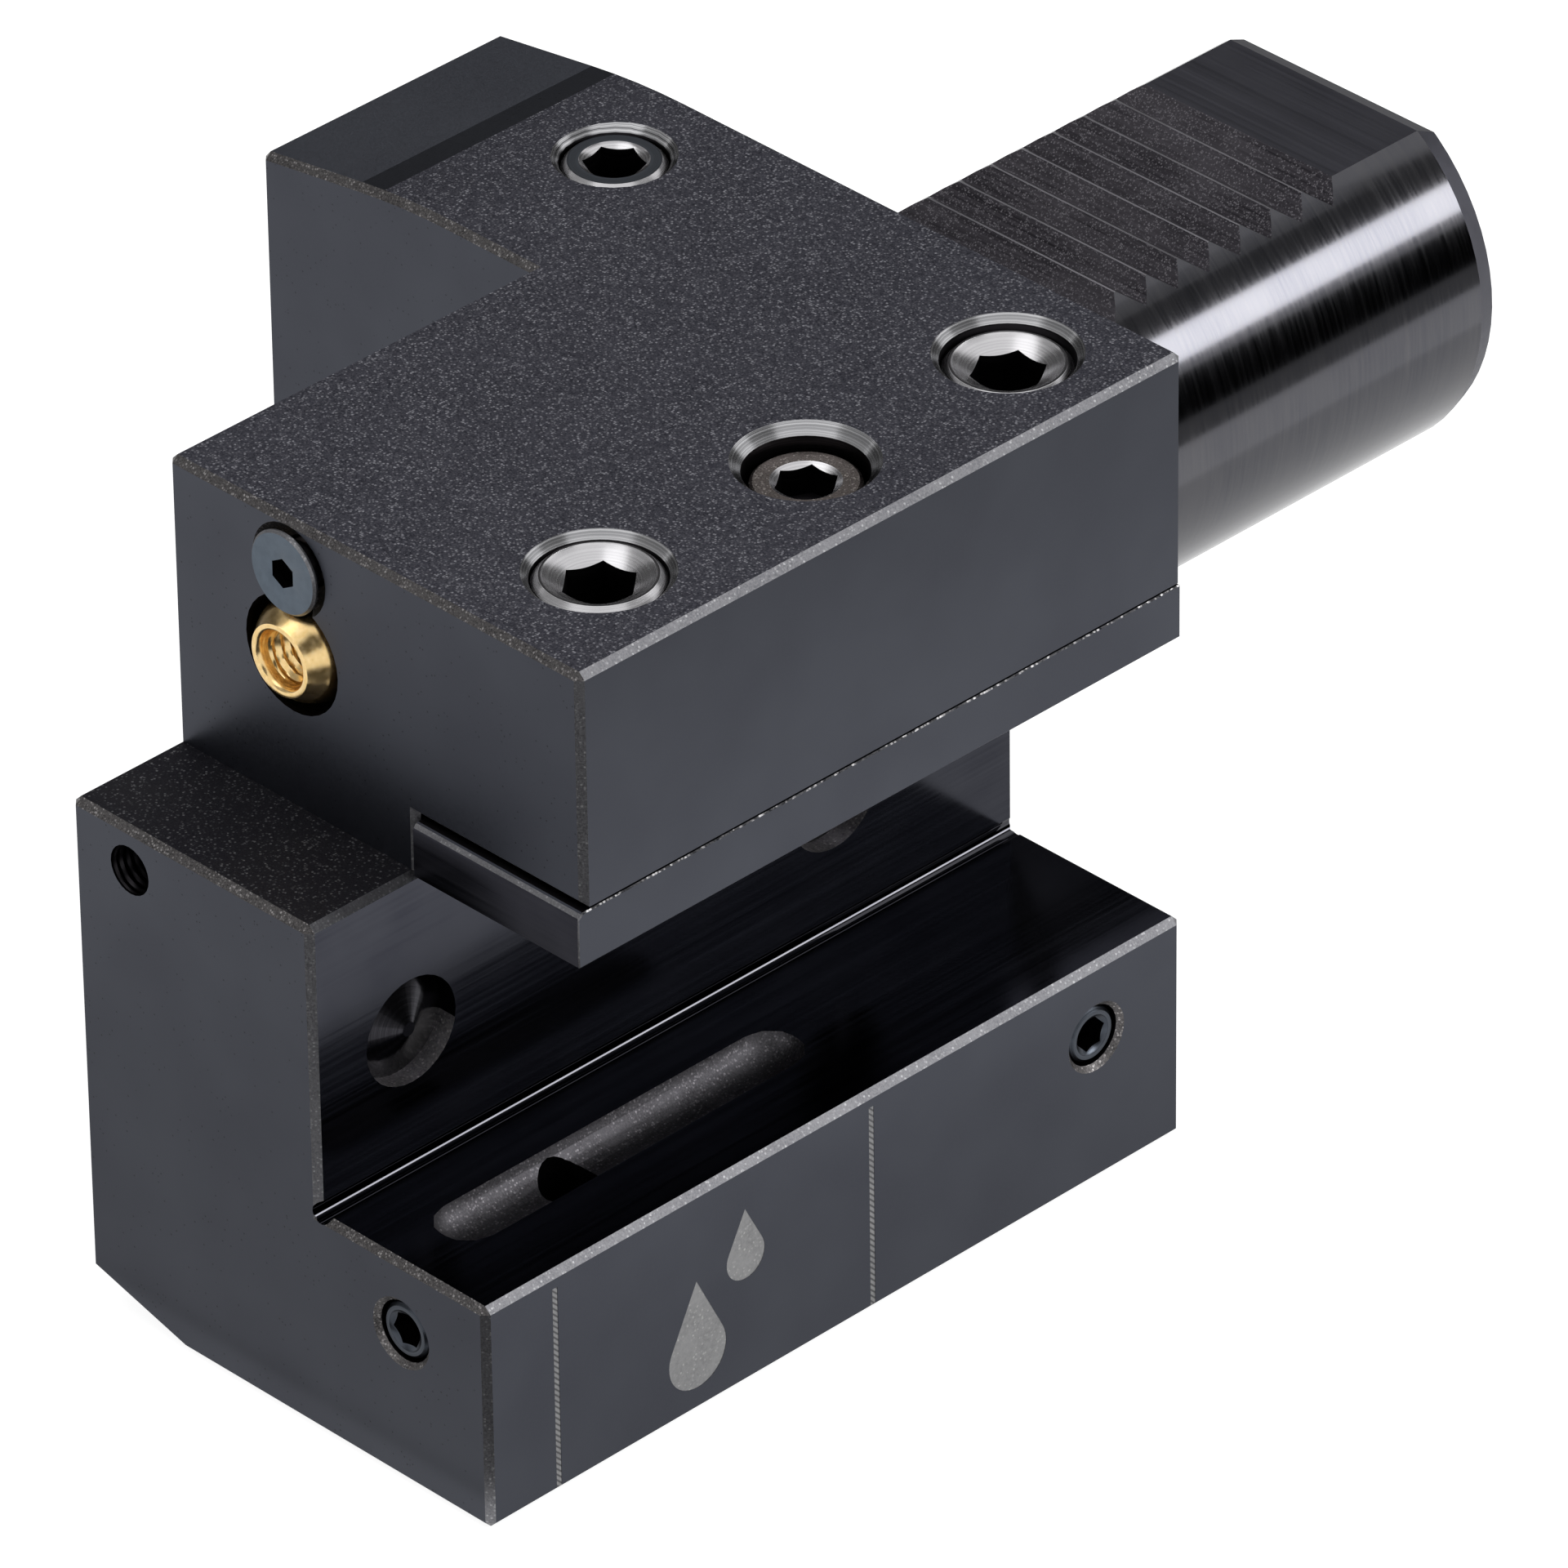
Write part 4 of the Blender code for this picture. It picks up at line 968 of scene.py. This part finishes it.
holes = (  # a point on the axis, the axis, the widest radius and how the wall is finished
    ((block["clampLine"], block["frontClamp"], block["top"]), (0, 0, 1), 6.75, "bore"),
    ((block["clampLine"], block["barScrew"], block["top"]), (0, 0, 1), 6.65, "bore"),
    ((block["clampLine"], block["rearClamp"], block["top"]), (0, 0, 1), 6.75, "bore"),
    ((-16.5, -11.0, block["top"]), (0, 0, 1), 5.75, "bore"),  # flange plug
    ((-block["halfWidth"], -11.23, nozzle["up"]), (1, 0, 0), 5.75, "bore"),  # gallery plug
    ((block["halfWidth"], -10.77, -32.7), (1, 0, 0), 3.55, "bore"),  # side plug
    ((31.9, block["front"], -32.4), (0, 1, 0), 3.55, "bore"),  # front plug
    ((nozzle["across"], block["headFront"], nozzle["up"]), (0, 1, 0), 5.75, "bore"),  # nozzle
    ((nozzle["across"], block["headFront"], 28.1), (0, 1, 0), 5.05, "bore"),  # lock screw
    ((-0.7, block["front"], 0.0), (0, 1, 0), 2.45, "bore"),  # threaded hole in the step's front
    ((-16.5, 0.0, 26.0), (0, 1, 0), 6.1, "bore"),  # coolant inlet
    ((block["slotWall"], -73.6, -11.4), (1, 0, 0), 5.3, "pocket"),
    ((block["slotWall"], -22.5, -11.4), (1, 0, 0), 5.3, "pocket"),
    ((slotLook["channel"], -64.5, -27.0), (0, 0, 1), 2.85, "bore"),  # drilling in the channel
    ((0.0, block["shankLength"], 0.0), (0, 1, 0), 4.05, "bore"),  # centre of the shank's end
)
# the hole threads take the bore colour, a painted shade
holeThreads = (  # mouth, way out, radius just inside the bore, crest (clear of the rim), depth, pitch
    ((block["clampLine"], block["frontClamp"], 32.4), (0, 0, 1), 5.98, 0.09, 22.0, 1.75),
    ((block["clampLine"], block["rearClamp"], 32.4), (0, 0, 1), 5.98, 0.09, 22.0, 1.75),
    ((-0.7, -84.8, 0.0), (0, -1, 0), 2.38, 0.16, 9.5, 0.8),
)
marks = {
    "drops": (  # tip and lowest point along and up, and width
        ((-60.05, -34.25), (-60.05, -45.4), 6.9), ((-54.1, -29.6), (-54.1, -36.9), 4.6)),
    "lines": ((-76.8, -26.6, -47.4), (-38.7, -26.5, -47.4)),  # along, upper end and lower end
    "lineWidth": 0.6,
}


def cadMesh(node):
    # a node's CAD triangles, merged, with the flat faces joined again
    bm = bmesh.new()
    bm.from_mesh(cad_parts[node].data)
    bmesh.ops.remove_doubles(bm, verts=bm.verts, dist=bodyLook["merge"] * mm)
    bmesh.ops.dissolve_limit(bm, angle_limit=math.radians(bodyLook["flat"]), verts=bm.verts, edges=bm.edges)
    return bm


def dropOutline(tip, low, width, steps=28):
    radius = width / 2
    centre = Vector((low[0], low[1] + radius))
    away = Vector(tip) - centre
    start = math.acos(radius / away.length)
    base = math.atan2(away.y, away.x)
    turns = [base + start + (math.tau - 2 * start) * i / steps for i in range(steps + 1)]
    return [tuple(tip)] + [(centre.x + radius * math.cos(t), centre.y + radius * math.sin(t)) for t in turns]


def markCutters():
    bm = bmesh.new()
    outlines = [dropOutline(*drop) for drop in marks["drops"]]
    half = marks["lineWidth"] / 2
    for y, high, low in marks["lines"]:
        outlines.append([(y - half, low), (y + half, low), (y + half, high), (y - half, high)])
    deep = block["halfWidth"] - bodyLook["markDepth"]
    out = block["halfWidth"] + bodyLook["markOut"]
    for outline in outlines:
        face = bm.faces.new([bm.verts.new(at(deep, a, b)) for a, b in outline])
        pushed = bmesh.ops.extrude_face_region(bm, geom=[face])
        verts = [v for v in pushed["geom"] if isinstance(v, bmesh.types.BMVert)]
        bmesh.ops.translate(bm, verts=verts, vec=Vector(((out - deep) * mm, 0, 0)))
    bmesh.ops.recalc_face_normals(bm, faces=bm.faces)
    mesh = bpy.data.meshes.new("markCutters")
    bm.to_mesh(mesh)
    bm.free()
    return linked("markCutters", mesh)


def holeFinish(face):
    points = [fromFrame(v.co) for v in face.verts]
    for place, axis, reach, wall in holes:
        way = Vector(axis)
        if way.z and place[2] > 0 > points[0].z:  # the head's holes end at the tool slot
            continue
        offsets = [p - Vector(place) for p in points]
        if any((o - way * o.dot(way)).length > reach for o in offsets):
            continue
        lean = abs(face.normal.dot(way))
        if wall == "pocket":
            # painted light and shade: the upward wall gets a much lighter colour, the pocket's other faces a
            # dark one
            litWall = lean < holeLook["straight"] and face.normal.z > holeLook["litWall"]
            return "pocket" if litWall else "pocketFloor"
        nearMouth = max(abs(o.dot(way)) for o in offsets) < holeLook["mouth"]
        if holeLook["straight"] < lean < holeLook["facing"] and nearMouth:
            # mouths of the wide top holes are turned rims; the others take the darker chamfer copy, a painted
            # shade
            return "rim" if reach > holeLook["wide"] and way.z else "shadedChamfer"
        return wall
    return None


def shankFinish(face, middle, n):
    inside = math.hypot(middle.x, middle.z) < shankLook["skin"]
    if not (inside and middle.z > shankLook["flat"] and abs(n.x) < 0.2):
        return "shankGround" if middle.y < block["shankLength"] - shankLook["endFace"] else "flatGround"
    if middle.y > shankLook["teethEnd"]:
        return "flatGround"
    # tip lands take a much lighter colour than the flanks, a painted highlight
    return "toothTipHighlight" if n.z > bodyLook["level"] and face.calc_area() < shankLook["tipArea"] else "tooth"


def slotFinish(middle, n):
    across, up, radius = slotLook["groove"]
    if math.hypot(middle.x - across, middle.z - up) < radius and abs(n.y) < 0.5:
        return "relief"
    underSeat = slotLook["channelFloor"] < middle.z < block["seat"] - bodyLook["touch"]
    between = slotLook["channelNear"] < middle.y < slotLook["channelFar"]
    if underSeat and between and abs(middle.x - slotLook["channel"]) < slotLook["channelHalf"]:
        return "channel"
    return None


def bodyFinish(face):
    hole = holeFinish(face)
    if hole:
        return hole
    middle = fromFrame(face.calc_center_median())
    n = face.normal
    touch = bodyLook["touch"]
    if middle.y > 5 * touch:
        return shankFinish(face, middle, n)
    sunk = block["halfWidth"] - middle.x  # how far the face lies under the right side
    if n.x > bodyLook["square"] and touch < sunk < 2 * bodyLook["markDepth"]:
        onLine = min(abs(middle.y - line[0]) for line in marks["lines"]) < marks["lineWidth"]
        return "laserLine" if onLine else "laser"
    inSlot = slotFinish(middle, n)
    if inSlot:
        return inSlot
    if max(abs(n.x), abs(n.y), abs(n.z)) < bodyLook["square"]:
        # painted light and shade: chamfers facing front and up take the darker copy, the others the lighter
        # one
        return "shadedChamfer" if n.y < -0.3 and n.z > 0.3 else "litChamfer"
    if n.y > bodyLook["level"] and abs(middle.y) < touch:
        return "faceGround"
    pastWall = middle.x > block["slotWall"] - slotLook["wallMargin"]
    inHeight = block["seat"] - slotLook["seatMargin"] < middle.z < block["roof"] + touch
    onSides = abs(sunk) <= 10 * touch or middle.y <= block["front"] + 10 * touch
    if pastWall and inHeight and not onSides:
        return "seatGround"
    # the flange's slanted top takes a lighter copy of satin, a painted light
    if bodyLook["square"] < n.z < bodyLook["level"] and middle.z > bodyLook["slopeAbove"]:
        return "slope"
    if n.z > bodyLook["topLevel"] and middle.z > 0:
        # the low step takes the darker copy of the blasted finish, a painted shade
        return "blasted" if middle.z > block["top"] - 1 else "shadedStepBlasted"
    return "satin"


def nearestTurned(point):
    # distance from the nearest hole's axis, and down it, for the tool marks
    best = None
    for place, axis, reach, wall in holes:
        way = Vector(axis)
        offset = point - Vector(place)
        depth = abs(offset.dot(way))
        away = (offset - way * offset.dot(way)).length
        if away <= reach and (best is None or depth < best[0]):
            best = (depth, away + holeLook["downScale"] * depth)
    return best[1] if best else 0.0


def addHoleThread(bm, thread, trees, mats):
    place, axis, radius, crest, depth, pitch = thread
    wall = bmesh.new()
    addThread(wall, trees, {"Radius": radius, "Depth": crest, "Pitch": pitch, "Inside": True,
                            "Length": depth, "Material": mats["bore"]}, -depth, bodyMats.index("bore"))
    wall.transform(axisMatrix(place, axis))
    mesh = bpy.data.meshes.new("holeThread")
    wall.to_mesh(mesh)
    wall.free()
    addMesh(bm, mesh, Matrix.Identity(4), bodyMats.index("bore"))


def makeBody(mats, trees):
    bm = cadMesh("holder_body")
    mesh = bpy.data.meshes.new("holderBody")
    bm.to_mesh(mesh)
    bm.free()
    piece = linked("holderBody", mesh)
    cutter = markCutters()
    mod = piece.modifiers.new("marks", "BOOLEAN")
    mod.operation, mod.solver, mod.object = "DIFFERENCE", "EXACT", cutter
    graph = bpy.context.evaluated_depsgraph_get()
    engraved = bpy.data.meshes.new_from_object(piece.evaluated_get(graph))
    piece.modifiers.clear()
    bpy.data.objects.remove(cutter)

    bm = bmesh.new()
    bm.from_mesh(engraved)
    bmesh.ops.remove_doubles(bm, verts=bm.verts, dist=bodyLook["merge"] * mm)
    bm.normal_update()
    turned = bm.verts.layers.float.new("turned")
    for vert in bm.verts:
        vert[turned] = nearestTurned(fromFrame(vert.co))
    for face in bm.faces:
        face.material_index = bodyMats.index(bodyFinish(face))
    for thread in holeThreads:
        addHoleThread(bm, thread, trees, mats)
    kinds = [mats[m] for m in bodyMats]
    piece.data = toMesh(bm, "holderBody", kinds, bodyLook["sharp"], [mats["channel"]])
    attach(piece, "holder")
    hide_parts("holder_body")


# The clamp bar
barLook = {"boreReach": 3.05, "square": 0.9, "topEdge": 0.5, "sharp": 24}
barMats = ("satin", "barFace", "litChamfer", "bore", "jointShadowEdge")


def barFinish(face):
    middle = fromFrame(face.calc_center_median())
    n = face.normal
    if math.hypot(middle.x - block["clampLine"], middle.y - block["barScrew"]) < barLook["boreReach"]:
        return "bore"
    if max(abs(n.x), abs(n.y), abs(n.z)) < barLook["square"]:
        # painted shadow with painted glints on the bar's top side edges, where it meets the head
        return "jointShadowEdge" if n.z > barLook["topEdge"] and abs(n.y) < 0.5 else "litChamfer"
    return "barFace" if n.y < -barLook["square"] else "satin"


def makeBar(mats):
    bm = cadMesh("clamp_bar")
    turned = bm.verts.layers.float.new("turned")
    for vert in bm.verts:
        vert[turned] = fromFrame(vert.co).z
    for face in bm.faces:
        face.material_index = barMats.index(barFinish(face))
    piece = linked("clampBar", toMesh(bm, "clampBar", [mats[m] for m in barMats], barLook["sharp"]))
    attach(piece, "bar")
    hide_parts("clamp_bar")


def makeAll():
    makeCamera(photoView)
    makeStudio(studio)
    print("camera and studio ready")
    kinds = {name: makeFinish(name, spec) for name, spec in finishes.items()}
    print("finishes ready:", len(kinds))
    trees = {"thread": threadTree(), "spring": springTree()}
    for name, spec in screws.items():
        makeSetScrew(name, spec, trees, kinds)
    makeBarScrew(barScrew, trees, kinds)
    makeSpring(spring, trees, kinds)
    print("screws, plugs and spring made")
    makeNozzle(nozzle, trees, kinds)
    makeLockScrew(lockScrew, trees, kinds)
    for name, spec in seals.items():
        makeSeal(name, spec, kinds)
    print("nozzle, lock screw and seals made")
    makeBody(kinds, trees)
    makeBar(kinds)
    print("body and bar dressed")


makeAll()
